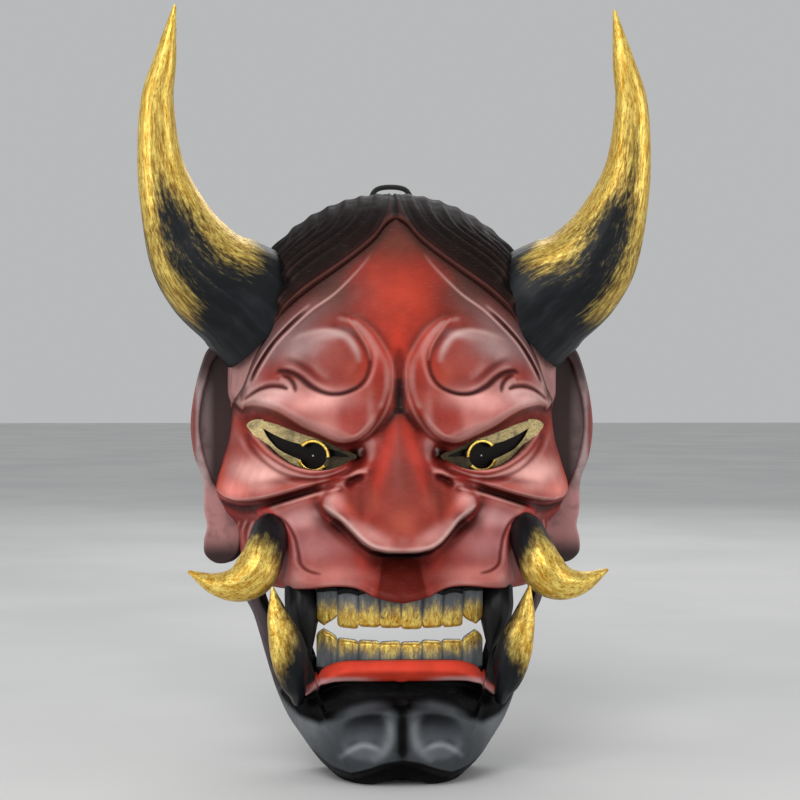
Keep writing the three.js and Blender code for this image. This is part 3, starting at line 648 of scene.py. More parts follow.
# Airbrushed colours of the face on its dark red ground, with painted shade in the creases, the nostril,
# the glabella, the inner eye corner, beside the nose's wing and behind the tusk, a painted highlight on
# the orb's crest, and pink paint with painted highlights on the brow's lower lobes, the cheeks and the
# nose's wing and tip: colour, how much of it, and the patch's centre x and z, half-sizes across and up,
# and turn in degrees. Later ones lie on top.
AIRBRUSH_SHADE_AND_HIGHLIGHTS = [
    ((190, 60, 38), 1.0, 0, 50, 19, 27, 0),
    ((104, 56, 44), 0.9, 0, 86, 24, 13, 0),
    ((90, 54, 46), 0.9, 36, 58, 16, 14, 40),
    ((206, 62, 42), 1.0, 0, 24, 6, 15, 0),
    ((196, 64, 46), 0.95, 12, 30, 7, 15, 25),
    ((152, 48, 34), 1.0, 12, -1, 9, 14, 0),
    ((168, 84, 74), 0.8, 34, 22, 11, 11, 0),
    ((186, 78, 60), 0.7, 24, 13, 6, 8, 0),
    ((128, 100, 98), 0.85, 52, 41, 19, 8, -36),
    ((170, 140, 138), 0.85, 51, 28, 14, 8, -20),
    # A painted highlight along the orb's crest.
    ((204, 168, 164), 0.6, 36, 34, 12, 2.6, -8),
    ((132, 112, 114), 0.85, 70, 28, 15, 8, -44),
    ((190, 146, 142), 0.85, 82, 7, 9, 12, -20),
    # Pink on the brow's lower lobes: pink paint and painted highlight.
    ((250, 178, 170), 0.95, 42, -1, 17, 7, -8),
    ((242, 186, 180), 0.95, 67, 1, 16, 5.6, -20),
    ((208, 130, 120), 0.8, 39, -12, 9, 7, 0),
    ((160, 58, 48), 0.85, 27, -11, 6, 8, 0),
    ((172, 54, 38), 0.95, 76, -10, 16, 4.4, -6),
    # Painted shade in the crease below the lower lid.
    ((140, 22, 12), 1.0, 48, -42.5, 23, 3.2, -9),
    ((150, 54, 42), 0.9, 0, -16, 7, 14, 0),
    ((208, 56, 38), 0.9, 7.5, -30, 3.6, 17, 16),
    ((132, 50, 38), 0.95, 0, -42, 9, 14, 0),
    ((170, 70, 50), 0.95, 0, -62, 9, 8, 0),
    ((188, 92, 76), 0.6, 17, -52, 7, 8, 0),
    # Pink on the nose's wing and on its tip's rim: pink paint and painted highlight.
    ((236, 152, 144), 0.9, 33, -51.5, 5.5, 4, 40),
    ((224, 160, 152), 0.7, 16, -68, 11, 3.6, 26),
    ((168, 40, 30), 0.7, 17, -32, 5, 7, 20),
    ((166, 78, 76), 0.6, 14.5, -22, 3.5, 4, 0),
    # Pink on the cheek: pink paint and painted highlight.
    ((255, 190, 180), 1.0, 74, -40, 17, 8, 6),
    ((255, 150, 138), 0.95, 89, -49, 9, 6, 0),
    ((214, 86, 64), 0.7, 97, -40, 4, 14, 0),
    ((186, 76, 62), 0.85, 56, -45.5, 12, 3.4, -10),
    ((178, 112, 106), 0.6, 90, -14, 6, 16, 0),
    ((234, 172, 168), 0.9, 50, -62, 14, 6, -8),
    ((186, 120, 118), 0.9, 46, -76, 16, 9, 0),
    ((210, 128, 120), 0.85, 36, -90, 18, 5, 0),
    ((226, 150, 142), 0.9, 55, -93, 7, 6, 0),
    ((210, 84, 72), 0.7, 18, -82, 5, 7, 0),
    # Painted shade beside the nose's wing and in the hollow behind the tusk.
    ((104, 46, 46), 0.75, 40, -64.5, 5, 6, 0),
    ((124, 32, 28), 0.9, 84, -65, 11, 6, 0),
    ((192, 104, 100), 0.6, 87, -79, 8, 9, 0),
    # Painted shade in the nostril, down the glabella and in the inner eye corner.
    ((28, 8, 8), 0.9, 31.5, -65, 7, 3.6, 38),
    ((26, 8, 8), 0.9, 0, 0, 2.2, 9, 0),
    ((34, 10, 10), 0.8, 22, -28.5, 4.4, 3, 0),
    ((168, 46, 30), 0.9, 74, -11.5, 17, 4.6, -8),
    # Painted shade under the lower lid.
    ((116, 16, 8), 0.95, 50, -41, 22, 2.2, -8),
    ((196, 82, 62), 0.6, 25, -53, 4, 6, 30),
    ((220, 66, 48), 0.85, 0, 27, 4, 10, 0),
    ((178, 54, 40), 0.7, 11, 27, 5, 14, 20),
]
# Maroon for painted shade, blood red for the socket's ring, and pink and pale for painted highlights.
SHADE_MAROON, BLOOD, HIGHLIGHT_PINK, HIGHLIGHT_PALE = (74, 24, 20), (196, 46, 40), (228, 140, 128), (244, 208, 200)
# Painted lines: painted shade down the carved grooves and creases, painted highlights along raised
# edges, and the red ring round the tusk's socket. Each is the line, its half-width, its colour, and how
# strong it is along its length.
SHADE_HIGHLIGHT_AND_RED_LINES = [
    (SWIRL, 1.0, (56, 14, 12), [0.4, 0.5, 0.7, 1, 1, 1, 0.8]),
    ([(27.6, 43.5), (22, 36.4), (17, 28.4), (14.8, 20)], 0.7, HIGHLIGHT_PINK, [0.4, 0.7, 0.7, 0.2]),
    (LOBE_EDGE[:13], 0.85, HIGHLIGHT_PINK, [0.1, 0.2, 0.3, 0.4, 0.55, 0.55, 0.5, 0.4, 0.2]),
    (ORB_CREST, 1.5, (214, 178, 172), [0, 0.4, 0.6, 0.7, 0.2]),
    (BARB, 0.9, SHADE_MAROON, [0.4, 0.9, 0.9, 0.6]),
    (HOOK, 0.9, SHADE_MAROON, [0.9, 1, 1, 0.3]),
    (TEMPLE_INNER, 0.8, (206, 158, 152), [0.1, 0.4, 0.8, 0.9, 0.9, 0.7]),
    (TEMPLE_OUTER, 0.8, (206, 158, 152), [0.4, 0.8, 0.8, 0.6]),
    (TEMPLE_GAP, 1.1, (76, 34, 34), [0.5, 0.8, 1, 0.8]),
    (LID, 0.8, HIGHLIGHT_PINK, [0.3, 0.6, 0.8, 0.6]),
    ([(0, 12), (0, 4), (0, -8)], 2.2, (22, 5, 5), [0.7, 1, 1]),
    ([(1, -4), (5, -10), (10.5, -17)], 1.7, (34, 8, 8), [1, 0.9, 0.4]),
    ([(19, -25), (20.6, -27), (20.4, -30)], 0.7, HIGHLIGHT_PALE, [0.3, 0.7, 0.3]),
    (NOSE_PIT, 2, (84, 18, 14), [0.7, 1, 0.6]),
    ([(16.6, -37.4), (21, -37.4), (26, -39.6)], 0.9, (232, 150, 140), [0.5, 0.9, 0.3]),
    (CREASE, 2.2, (58, 14, 12), [0.9, 1, 1, 1, 0.8, 0.5]),
    (MUZZLE_TOP, 0.7, (240, 168, 158), [0.3, 0.8, 0.8, 0.5]),
    (SOCKET, 1.7, BLOOD, [0.8, 0.9, 0.7, 0.3]),
    (MUZZLE_LINE, 0.7, (120, 40, 38), [0.6, 1, 1, 0.7]),
    (WING_GROOVE, 1.2, (150, 44, 38), [0.4, 0.7, 0.8, 0.8]),
    (NOSE_RIM, 0.8, HIGHLIGHT_PALE, [0.2, 0.4, 0.55, 0.6, 0.5]),
]


def paint_lines(c, colour, lines, fade=0):
    """Soft lines over a colour array. fade is the share of a line's length that each end takes
    to die away."""
    for line, half_width, tint, strength in lines:
        near, gap, along, _ = c.nearest(line, 3 * half_width)
        amount = np.interp(along, np.linspace(0, 1, len(strength)), strength)
        amount *= np.exp(-((gap / half_width) ** 2))
        if fade:
            amount *= ease(along / fade) * ease((1 - along) / fade)
        colour[near] = layer(colour[near], srgb(*tint), amount)


def face_paint(x, z, height, turn):
    """The airbrushed reds with painted shade and painted highlights among them, painted shade in the
    carving's hollows and on its side walls, painted highlights on its edges, and the painted lines on
    top.
    """
    c = Carving(x, z)
    hollow, edge = hollows_and_edges(height, 2)
    deep, proud = hollows_and_edges(height, 13)
    shade_colour = srgb(*SHADE_MAROON)
    colour = ground((152, 48, 38), x)
    for tint, amount, cx, cz, across, up, turned in AIRBRUSH_SHADE_AND_HIGHLIGHTS:
        cosine, sine = math.cos(math.radians(turned)), math.sin(math.radians(turned))
        u = ((c.x - cx) * cosine + (z - cz) * sine) / across
        v = ((z - cz) * cosine - (c.x - cx) * sine) / up
        colour = layer(colour, srgb(*tint), amount * np.exp(-((u * u + v * v) ** 1.15)))
    hairline = look_up(HAIRLINE, off_middle(turn))
    colour = layer(colour, srgb(62, 42, 38), 0.85 * ease(1 - (hairline - z) / 13))
    # Pink on the broad raised forms: pink paint and painted highlight.
    colour = layer(colour, srgb(224, 150, 142), 0.07 * proud)
    # Painted shade: maroon in the deep and the small hollows and grooves, and on the side walls as they
    # turn away.
    colour = layer(colour, shade_colour, 0.35 * ease(deep * 1.2))
    colour = layer(colour, shade_colour, 0.6 * ease(hollow * 1.5))
    colour = layer(colour, shade_colour, 0.7 * ease((off_middle(turn) - 74) / 10))
    # Painted shade on the philtrum, which faces down.
    colour = layer(colour, srgb(112, 34, 26), 0.92 * philtrum(c.x, z))
    # Painted shadow on the nose's underside.
    below = np.interp(c.x, *NOSE_EDGE) - z
    thick = np.interp(c.x, [0, 15, 30, 40], [8.5, 7.5, 5, 3])
    under_nose = ease(below / 1.2) * ease((thick - below) / 2.4) * ease((43 - c.x) / 3)
    shade = mix(srgb(22, 6, 6), srgb(70, 20, 18), ease((c.x - 10) / 10)[..., None])
    colour = layer(colour, shade, under_nose)
    # Pale on the raised edges, away from the nose, philtrum and hairline: dry-brushed paint and painted
    # highlight.
    on_nose = ease((15 - c.x) / 4) * ease((-2 - z) / 4) * ease((z + 71) / 4)
    on_philtrum = ease((17 - c.x) / 3) * ease((-84 - z) / 4)
    bare = np.maximum(np.maximum(on_nose, on_philtrum), ease((z - hairline + 3) / 2))
    colour = layer(colour, srgb(*HIGHLIGHT_PALE), 0.26 * ease(edge * 1.5) * (1 - 0.85 * deep) * (1 - bare))
    paint_lines(c, colour, SHADE_HIGHLIGHT_AND_RED_LINES, fade=0.06)
    return colour


def four_round(grid):
    """Each group of four places that meet, summed over the four."""
    return 0.0 + grid[:-1, :-1] + grid[1:, :-1] + grid[:-1, 1:] + grid[1:, 1:]


def cut_hole(line, x, z):
    """Which faces of a grid a hole leaves, and the grid's places with those at the hole's edge
    moved onto its outline."""
    keep = four_round(inside(line, np.abs(x), z)) < 2
    edge = (four_round(np.pad(~keep, 1)) > 0) & (four_round(np.pad(keep, 1)) > 0)
    places = np.stack([np.abs(x[edge]), z[edge]], -1)
    best = line[np.argmin(np.linalg.norm(places[:, None] - line[None], axis=2), axis=1)]
    x_moved, z_moved = x.copy(), z.copy()
    x_moved[edge] = np.sign(x[edge]) * best[:, 0]
    z_moved[edge] = best[:, 1]
    return keep, x_moved, z_moved


def shell_piece(name, edges, columns, rows, carve, paint, material, crown=False, hole=None):
    """One of the three carved shells, standing for the CAD node of the same name. Its edges are
    the lower and the upper one."""
    turn, z = shell_grid(*edges, columns, rows, crown)
    x, _, _ = plain_surface(turn, z)
    keep, x_moved, z_moved = np.ones((rows, columns), bool), x, z
    if hole is not None:
        keep, x_moved, z_moved = cut_hole(hole, x, z)
    height = carve(x, z, turn)
    outer, inner = shell_points(turn, z, height, x_moved, z_moved, crown)
    colour = paint(x, z, height, turn)
    paint_both = flat(colour, ground((24, 20, 20), x))
    opaque = np.ones((len(paint_both), 1))
    piece = make_mesh(
        name + "_carved", flat(outer, inner), grid_faces(keep), material,
        paint=np.concatenate([paint_both, opaque], axis=1),
    )
    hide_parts(name)


def face_height(x, z, turn):
    """The face's carving, rolled back at the lip and tucked in under the hair."""
    low, high = look_up(LIP_EDGE, off_middle(turn)), look_up(HAIRLINE, off_middle(turn))
    return carve_face(x, z) - roll_edge(z - low, 2.2) - 1.6 * ease((z - high) / FACE_TUCK)


def jaw_height(x, z, turn):
    """The jaw's carving, rolled back at its upper edge."""
    return carve_jaw(x, z) - roll_edge(look_up(JAW_EDGE, off_middle(turn)) - z, 3.0)


# Painted highlights on the chin: grey lines, given as the face's painted lines are.
CHIN_SHINE = [
    ([(11, -159), (6.8, -163), (6.4, -171), (9.4, -178), (14, -182)], 2.4, (124, 128, 132),
     [0, 0.8, 1, 0.5]),
    (SPOON_RIM, 1.4, (146, 150, 154), [0, 0.7, 0.8, 0.3]),
    ([(4, -155.6), (16, -155.6), (28, -159), (36, -163)], 2, (84, 88, 92), [0, 0.7, 0.7, 0]),
]


def jaw_paint(x, z, height, turn):
    """Black, with a red lip, a grey plane and two grey hollows on the chin, and brown sides. The chin's
    grey is brushed grey and painted sheen; painted shade darkens the hollows, the cleft and the tops of
    the spoons, and painted highlights lie on raised edges.
    """
    c = Carving(x, z)
    hollow, edge = hollows_and_edges(height, 3)
    black, lip, pink = srgb(4, 4, 5), srgb(226, 72, 52), srgb(232, 184, 182)
    colour = ground((4, 4, 5), x)
    side = ease((off_middle(turn) - 56) / 8)
    colour = layer(colour, srgb(66, 46, 52), side * ease((z + 165) / 40))
    colour = layer(colour, srgb(120, 52, 48), side * ease((z + 112) / 30))
    # The grey over the chin's plane: brushed grey paint and painted sheen.
    below = ease((np.interp(c.x, *CHIN_TOP) - 1 - z) / 4)
    below *= ease((z - np.interp(c.x, *CHIN_LOW)) / 1.6)
    colour = layer(colour, srgb(72, 76, 80), below)
    # A painted sheen on the chin's side.
    shine = np.exp(-(((c.x - 50) / 11) ** 2) - ((z + 168) / 11) ** 2)
    colour = layer(colour, srgb(120, 124, 128), 0.9 * below * shine)
    # The spoon hollows: painted shade at their tops, grey paint and painted sheen towards their
    # bottoms.
    within = ease((c.depth_inside(closed_line(SPOON, 160)) + 1) / 4)
    bowl = mix(black, srgb(96, 100, 105), ease((-158 - z) / 20)[..., None])
    colour = layer(colour, bowl, 0.9 * within)
    # Painted shade down the chin's cleft.
    colour = layer(colour, black, 0.95 * np.exp(-((x / 3.6) ** 2)) * ease((z + 184) / 4))
    paint_lines(c, colour, CHIN_SHINE)
    lip_low, lip_high = np.interp(c.x, *LIP_LOW), np.interp(c.x, *LIP_HIGH)
    on_lip = ease(z - lip_low) * ease(lip_high - z) * (c.x < 65)
    colour = layer(colour, lip, on_lip)
    # Pink along the lip's lower part: pink paint and painted highlight.
    colour = layer(colour, pink, 0.9 * on_lip * ease((lip_low + 4.6 - z) / 3.4) * ease((c.x - 8) / 18))
    # Painted highlight on the raised edges of the sides.
    colour = layer(colour, srgb(120, 112, 118), 0.4 * ease(edge * 1.2) * side)
    # Painted shade in the hollows, less on the lip.
    return layer(colour, black, 0.6 * ease(hollow * 1.3) * (1 - 0.6 * on_lip))


# Each lock's lower edge, from the top of the head to the horn's foot, as x and z.
LOCKS = [
    [(3, 119), (3.4, 112), (6, 101), (12, 89.5), (24, 78.5), (38, 69), (52, 59), (64, 46)],
    [(11, 119), (11.4, 113), (13.4, 104), (18, 95), (28, 85.5), (42, 76), (56, 64), (66, 52)],
    [(20, 119), (20, 111), (21.4, 103), (26, 94.6), (36, 86), (48, 77), (60, 66)],
    [(29, 119), (29, 108), (30.4, 100.4), (35, 93), (44, 85), (54, 76), (64, 66)],
    [(38.5, 119), (38.5, 103), (40.4, 96), (46, 88.6), (54, 81), (63, 72)],
    [(48, 119), (48, 97.5), (50, 91), (56, 83.6), (64, 76)],
    [(58, 119), (58, 90), (60.5, 84), (67, 76)],
]
# The same behind the horns, where the sides are nearly flat, as depth and z.
SIDE_LOCKS = [
    [(30, 104), (32, 84), (36, 60), (42, 30), (48, 0)],
    [(40, 104), (41, 84), (45, 58), (50, 30), (55, 0)],
    [(50, 104), (50, 84), (53, 58), (57, 30), (60, 4)],
    [(18, 96), (21, 78), (26, 54), (33, 28), (40, 0)],
    [(6, 88), (10, 70), (16, 48), (24, 26), (32, 2)],
]


def comb(c, lines, spacing):
    """Overlapping locks along the lines, with fine strands that run beside each line."""
    for number, line in enumerate(lines):
        c.fold(line, -1.3, 1.1, 1.1, fade=0.03)
        c.fold(line, 1.9, 1.4, 6.5, fade=0.03)
        near, gap, along, _ = c.nearest(line, 10)
        strands = np.sin(2 * math.pi * (gap / spacing + 0.6 * along) + number)
        c.height[near] += 0.3 * strands * along * np.exp(-((gap / 7) ** 2))


def hair_height(x, z, turn):
    """Locks that sweep from the middle parting down to the horns' feet."""
    degrees = off_middle(turn)
    _, y, _ = plain_surface(turn, z)
    # A carving mirrors its places at 0, so the depths are moved well clear of it.
    clear = 200
    front, sides = Carving(x, z), Carving(y + clear, z)
    comb(front, LOCKS, 3.6)
    comb(sides, [[(depth + clear, up) for depth, up in line] for line in SIDE_LOCKS], 3)
    at_side = ease((degrees - 58) / 12) * ease((96 - z) / 10)
    height = mix(front.height, sides.height, at_side)
    low = look_up(HAIRLINE, degrees)
    parting = np.exp(-((x / 1.3) ** 2))
    rim = 0.5 * np.exp(-(((z - low - 1.6) / 1.5) ** 2)) * (1 - ease((degrees - 38) / 8))
    return smoothed(height + rim - 1.2 * parting, 1) + 0.4 - 0.3 * roll_edge(z - low, 1)


def hair_paint(x, z, height, turn):
    """Near-black strands that turn brown at the hairline and pale at the temples, with painted
    highlights on their ridges and along the hairline's rim, and painted shade between them.
    """
    hollow, edge = hollows_and_edges(height, 2)
    deep, _ = hollows_and_edges(height, 7)
    degrees = off_middle(turn)
    low = look_up(HAIRLINE, degrees)
    colour = ground((27, 20, 19), x)
    colour = layer(colour, srgb(70, 38, 33), 0.6 * np.exp(-(((z - low) / 7) ** 2)))
    # Painted highlight on the ridges of the strands.
    colour = layer(colour, srgb(88, 64, 60), 0.5 * ease(edge * 1.5) * ease(1.1 - (z - low) / 40))
    # Painted highlight along the raised rim at the hairline.
    colour = layer(colour, srgb(112, 60, 52), 0.5 * np.exp(-(((z - low - 1.4) / 1.0) ** 2)))
    temple = ease((degrees - 44) / 5) * ease((40 - z) / 9) * (1 - ease((degrees - 80) / 8))
    colour = layer(colour, srgb(186, 138, 134), temple)
    # Painted shade between the strands, and in the grooves at the temples.
    gaps = 0.8 * np.clip(1.4 * hollow + 0.6 * deep, 0, 1) * ease((z - low) / 2.5)
    dark = layer(colour, srgb(8, 6, 6), gaps)
    return mix(dark, layer(colour, srgb(96, 54, 52), ease(1.4 * hollow)), temple[..., None])


# ---------------------------------------------------------------- horns, tusks and fangs


LEAST_RADIUS = 0.15
# How far the paint's grain is moved on the two sides, so that they aren't each other's image.
GRAIN_SHIFT = 0.02


def sweep(form, rings, sides, shape):
    """Points round a smooth centre line, from root to tip. shape gives a factor on the radius
    from the share along the line and the angle round it; the paint's grain is drawn out
    lengthwise the more, the smaller the form's stretch is."""
    line = smooth_line([(*c, r) for c, r in zip(form["centre"], form["radius"])], rings)
    middle, girth = line[:, :3], np.maximum(line[:, 3], LEAST_RADIUS)
    along = np.gradient(middle, axis=0)
    along /= np.linalg.norm(along, axis=1)[:, None]
    across = np.cross(along, [0, 1, 0])
    across /= np.linalg.norm(across, axis=1)[:, None]
    over = np.cross(across, along)
    share = np.linspace(0, 1, rings)[:, None]
    angle = np.linspace(0, 2 * math.pi, sides, endpoint=False)[None, :]
    r = girth[:, None] * shape(share + 0 * angle, angle + 0 * share)
    points = (
        middle[:, None] + across[:, None] * (r * np.cos(angle))[..., None]
        + over[:, None] * (r * np.sin(angle))[..., None]
    )
    steps = np.concatenate([[0], np.cumsum(np.linalg.norm(np.diff(middle, axis=0), axis=1))])
    length = form["stretch"] * steps[:, None] + 0 * r
    grain = np.stack([r * np.cos(angle), r * np.sin(angle), length], -1)
    return points, share + 0 * angle, angle + 0 * share, grain * MM


def sweep_faces(rings, sides):
    j, i = np.meshgrid(np.arange(rings - 1), np.arange(sides), indexing="ij")
    j, i = j.ravel(), i.ravel()
    after = (i + 1) % sides
    return np.stack([j * sides + i, (j + 1) * sides + i, (j + 1) * sides + after, j * sides + after], 1)


def sweep_pair(name, form, rings, sides, shape, material, tone):
    """A swept piece and its mirror image. tone gives the paint mask from share and angle."""
    points, share, angle, grain = sweep(form, rings, sides, shape)
    faces = sweep_faces(rings, sides)
    for side, sign in SIDES:
        piece = make_mesh(
            f"{name}_{side}_carved", points * [sign, 1, 1], faces[:, ::sign], material,
            tone=tone(share, angle), grain=grain * [sign, 1, 1] + GRAIN_SHIFT * sign,
        )
        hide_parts(f"{name}_{side}")


HORN = {
    "centre": [(70, 26, 44), (84, 22, 56), (101, 16, 68), (112, 12, 82), (121, 8, 102), (128, 5, 128),
               (129.5, 3, 161), (125, 2, 185), (120, 3, 214)],
    "radius": [34, 32, 28, 24, 18, 12.5, 9, 6, 0.8],
    "stretch": 0.1,
}
CHEEK_TUSK = {
    "centre": [(65, -8, -68), (68, -24, -70), (70, -37, -78), (75, -44, -89), (84, -45, -95),
               (96.5, -40, -95), (110, -33, -89.5)],
    "radius": [8, 9.5, 10.5, 11.5, 9.2, 5.4, 0.8],
    "stretch": 0.45,
}
LOWER_TUSK = {
    "centre": [(53, -36, -157), (53.6, -43, -151), (55, -49, -144.5), (56.4, -53, -136),
               (58.6, -56, -125), (62.8, -56, -111), (66, -55, -95.5)],
    "radius": [3, 4.6, 7, 9.1, 9, 5.8, 0.7],
    "stretch": 0.45,
}
UPPER_FANG = {
    "centre": [(52, -27, -92), (51.5, -32, -102), (50, -37, -114), (46.5, -42, -131)],
    "radius": [7.5, 8.6, 8, 0.7],
    "stretch": 0.45,
}


def horn_shape(share, angle):
    """Shallow lengthwise flutes that drift round the horn, and a few growth rings at its foot."""
    fade = ease(share / 0.08) * (1 - 0.6 * share)
    flutes = np.sin(7 * angle + 2.4 * share) + 0.6 * np.sin(13 * angle - 1.7 * share + 1)
    fine = np.sin(31 * angle + 3 * share) + np.sin(53 * angle - 2 * share)
    rings = np.sin(46 * share**0.7) * np.exp(-((share / 0.3) ** 2))
    return 1 + 0.012 * fade * flutes + 0.004 * fade * fine + 0.006 * rings


def tusk_shape(share, angle):
    fade = ease(share / 0.15)
    waves = np.sin(5 * angle + 3 * share) + 0.7 * np.sin(11 * angle - 4 * share)
    return 1 + 0.014 * fade * waves + 0.01 * np.sin(24 * share + 2 * np.sin(2 * angle)) * fade


def horn_tone(share, angle):
    """Where the gold is brushed: bands along three flanks, and all round towards the tip."""
    bands = 0
    for degrees, narrow, start, amount in (
        (205, 7, 0.08, 0.56), (305, 9, 0.02, 0.4), (350, 7, 0.06, 0.5),
    ):
        facing = np.clip(0.5 + 0.5 * np.cos(angle - math.radians(degrees) - 0.5 * share), 0, 1)
        bands = bands + amount * facing**narrow * ease((share - start) / 0.16)
    return bands + 0.34 * ease((share - 0.34) / 0.26) + 0.2 * ease((share - 0.62) / 0.25) - 0.14


# Gold from the middle out to the tip. The cosine of the angle adds gold round one side as painted
# highlight and takes it from the other as painted shade.
def tusk_tone(share, angle):
    return 0.95 * ease((share - 0.26) / 0.34) + 0.36 * np.cos(angle - 5.4) - 0.3


# Gold from the middle out to the tip. The cosine of the angle adds gold round one side as painted
# highlight and takes it from the other as painted shade.
def lower_tusk_tone(share, angle):
    return 0.85 * ease((share - 0.3) / 0.4) + 0.46 * np.cos(angle - 3.5) - 0.3


def fang_tone(share, angle):
    return np.full_like(share, -0.2)


# ---------------------------------------------------------------- flat pieces with clean outlines


WELD_DISTANCE = 0.01 * MM
SHARP_ANGLE = math.radians(40)


def plate_mesh(outline, holes, thickness, bevel):
    """Vertices and faces of a flat plate, in x, depth and z, with its front at depth 0."""
    data = bpy.data.curves.new("outline", "CURVE")
    data.dimensions = "2D"
    data.fill_mode = "BOTH"
    data.extrude = (thickness / 2 - bevel) * MM
    data.bevel_depth = bevel * MM
    data.bevel_resolution = 2
    data.offset = -bevel * MM
    for line in (outline, *holes):
        spline = data.splines.new("POLY")
        spline.points.add(len(line) - 1)
        for point, (x, z) in zip(spline.points, line):
            point.co = (x * MM, z * MM, 0, 1)
        spline.use_cyclic_u = True
    holder = bpy.data.objects.new("outline", data)
    mesh = bpy.data.meshes.new_from_object(holder)
    bpy.data.objects.remove(holder)
    bpy.data.curves.remove(data)
    for vertex in mesh.vertices:
        x, z, depth = vertex.co
        vertex.co = (x, thickness / 2 * MM - depth, z)
    return mesh


def plate_piece(name, parts, material, sign=1, bend=None):
    """A piece of one or more plates, standing for the CAD node of the same name. Each part is
    (outline, holes, front, thickness, bevel)."""
    joined = bpy.data.meshes.new(name + "_carved")
    vertices, faces, depths, rounded = [], [], [], []
    for outline, holes, front, thickness, bevel in parts:
        mesh = plate_mesh(outline, holes, thickness, bevel)
        start = len(vertices)
        for vertex in mesh.vertices:
            x, y, z = vertex.co / MM
            depths.append(y + front - parts[0][2])
            y += front + (bend(x, z) if bend else 0)
            vertices.append((sign * x * MM, y * MM, z * MM))
        for polygon in mesh.polygons:
            corners = [start + v for v in polygon.vertices]
            faces.append(corners[::sign])
            rounded.append(abs(polygon.normal.y) < 0.99)
        bpy.data.meshes.remove(mesh)
    joined.from_pydata(vertices, [], faces)
    joined.attributes.new("depth", "FLOAT", "POINT").data.foreach_set("value", depths)
    joined.polygons.foreach_set("use_smooth", rounded)
    joined.validate()
    piece = add_piece(name + "_carved", joined, material)
    piece.modifiers.new("weld", "WELD").merge_threshold = WELD_DISTANCE
    piece.modifiers.new("smooth", "EDGE_SPLIT").split_angle = SHARP_ANGLE
    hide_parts(name)


def arc(centre, radius, start, end, count):
    """Points along an arc, from a start to an end angle in degrees."""
    angle = np.radians(np.linspace(start, end, count))
    return [(centre[0] + radius * math.cos(a), centre[1] + radius * math.sin(a)) for a in angle]


def eye_hole():
    """The outline of the pupil with the slits at its sides."""
    upper = smooth_line([(72.4, -15.4), (65.6, -19), (58.4, -22), (51.4, -23.8)], 22)
    lower = smooth_line([(51.4, -32.2), (57, -30), (64, -26.4), (69.4, -20.6), (72.4, -15.4)], 22)
    inner = smooth_line([
        (38.6, -25.6), (33.6, -26.8), (28.6, -28.6), (25.8, -29.8), (29, -30.1), (33.6, -29.9),
        (38.4, -30.6),
    ], 22)
    return [
        *upper, *arc(PUPIL, PUPIL_RADIUS, 40, 148, 22), *inner,
        *arc(PUPIL, PUPIL_RADIUS, 188, 340, 22), *lower[:-1],
    ]


def make_eyes(plate_material, gold_material):
    """Slanted plates whose dark openings end in a pinhole, with gilt arcs round the pupils. The plate's
    back layer, pierced only by the pinhole, is a dark sheet that stands in for the shade behind the
    openings.
    """

    def slant(x, z):
        return EYE_CORNER[1] + EYE_SLOPE * (x - EYE_CORNER[0])

    def ring_arc(start, end):
        inner, outer = PUPIL_RADIUS + RING_EDGES[0], PUPIL_RADIUS + RING_EDGES[1]
        return [*arc(PUPIL, inner, start, end, 26), *arc(PUPIL, outer, end, start, 26)]

    middle = EYE_BED.mean(axis=0)
    outline = middle + (EYE_BED - middle) * PLATE_GROWTH
    pinhole = arc(PUPIL, PINHOLE_RADIUS, 0, 330, 12)
    # The front layer carries the openings; the back layer, with only a pinhole, is a dark sheet of
    # painted shade behind them.
    layers = [(outline, [eye_hole()], 0.2, 1.9, 0.35), (outline, [pinhole], 2.1, 1.3, 0.1)]
    arcs = [(ring_arc(40, 186), [], -1.7, 1.8, 0.6), (ring_arc(220, 342), [], -1.7, 1.8, 0.6)]
    for side, sign in SIDES:
        plate_piece(f"eye_plate_{side}", layers, plate_material, sign, slant)
        plate_piece(f"iris_ring_{side}", arcs, gold_material, sign, slant)


def make_ears(material):
    """Panels with a hollow front: a pierced plate over a floor that is a little narrower."""
    outline = closed_line([
        (97, 33), (104, 29), (108, 20), (112, 4), (114, -14), (112, -31), (107, -46), (106.3, -62),
        (104.8, -71), (106.4, -79), (105.8, -87), (99, -92), (90, -90), (86, -80), (86, -40), (86, 0),
        (88, 28),
    ], 260)
    hollow = closed_line([
        (96, 26), (101, 22), (104, 14), (107.5, 2), (109.2, -14), (107.2, -29), (103, -42), (98, -51),
        (93, -52), (90, -44), (90, -20), (90, 20),
    ], 240)
    floor = [(x - 1.2, z) for x, z in outline]
    parts = [(outline, [hollow], 38, 11.6, 1.4), (floor, [], 43.5, 5.6, 0.4)]
    for side, sign in SIDES:
        plate_piece(f"ear_{side}", parts, material, sign)


# ---------------------------------------------------------------- teeth

# The row is bowed: it lies x * x / bow further back at x. Each tooth has so many columns.
TOOTH_ROW = {"half_width": 43.4, "count": 8, "thickness": 6.5, "bow": 150, "columns": 30, "rows": 46}


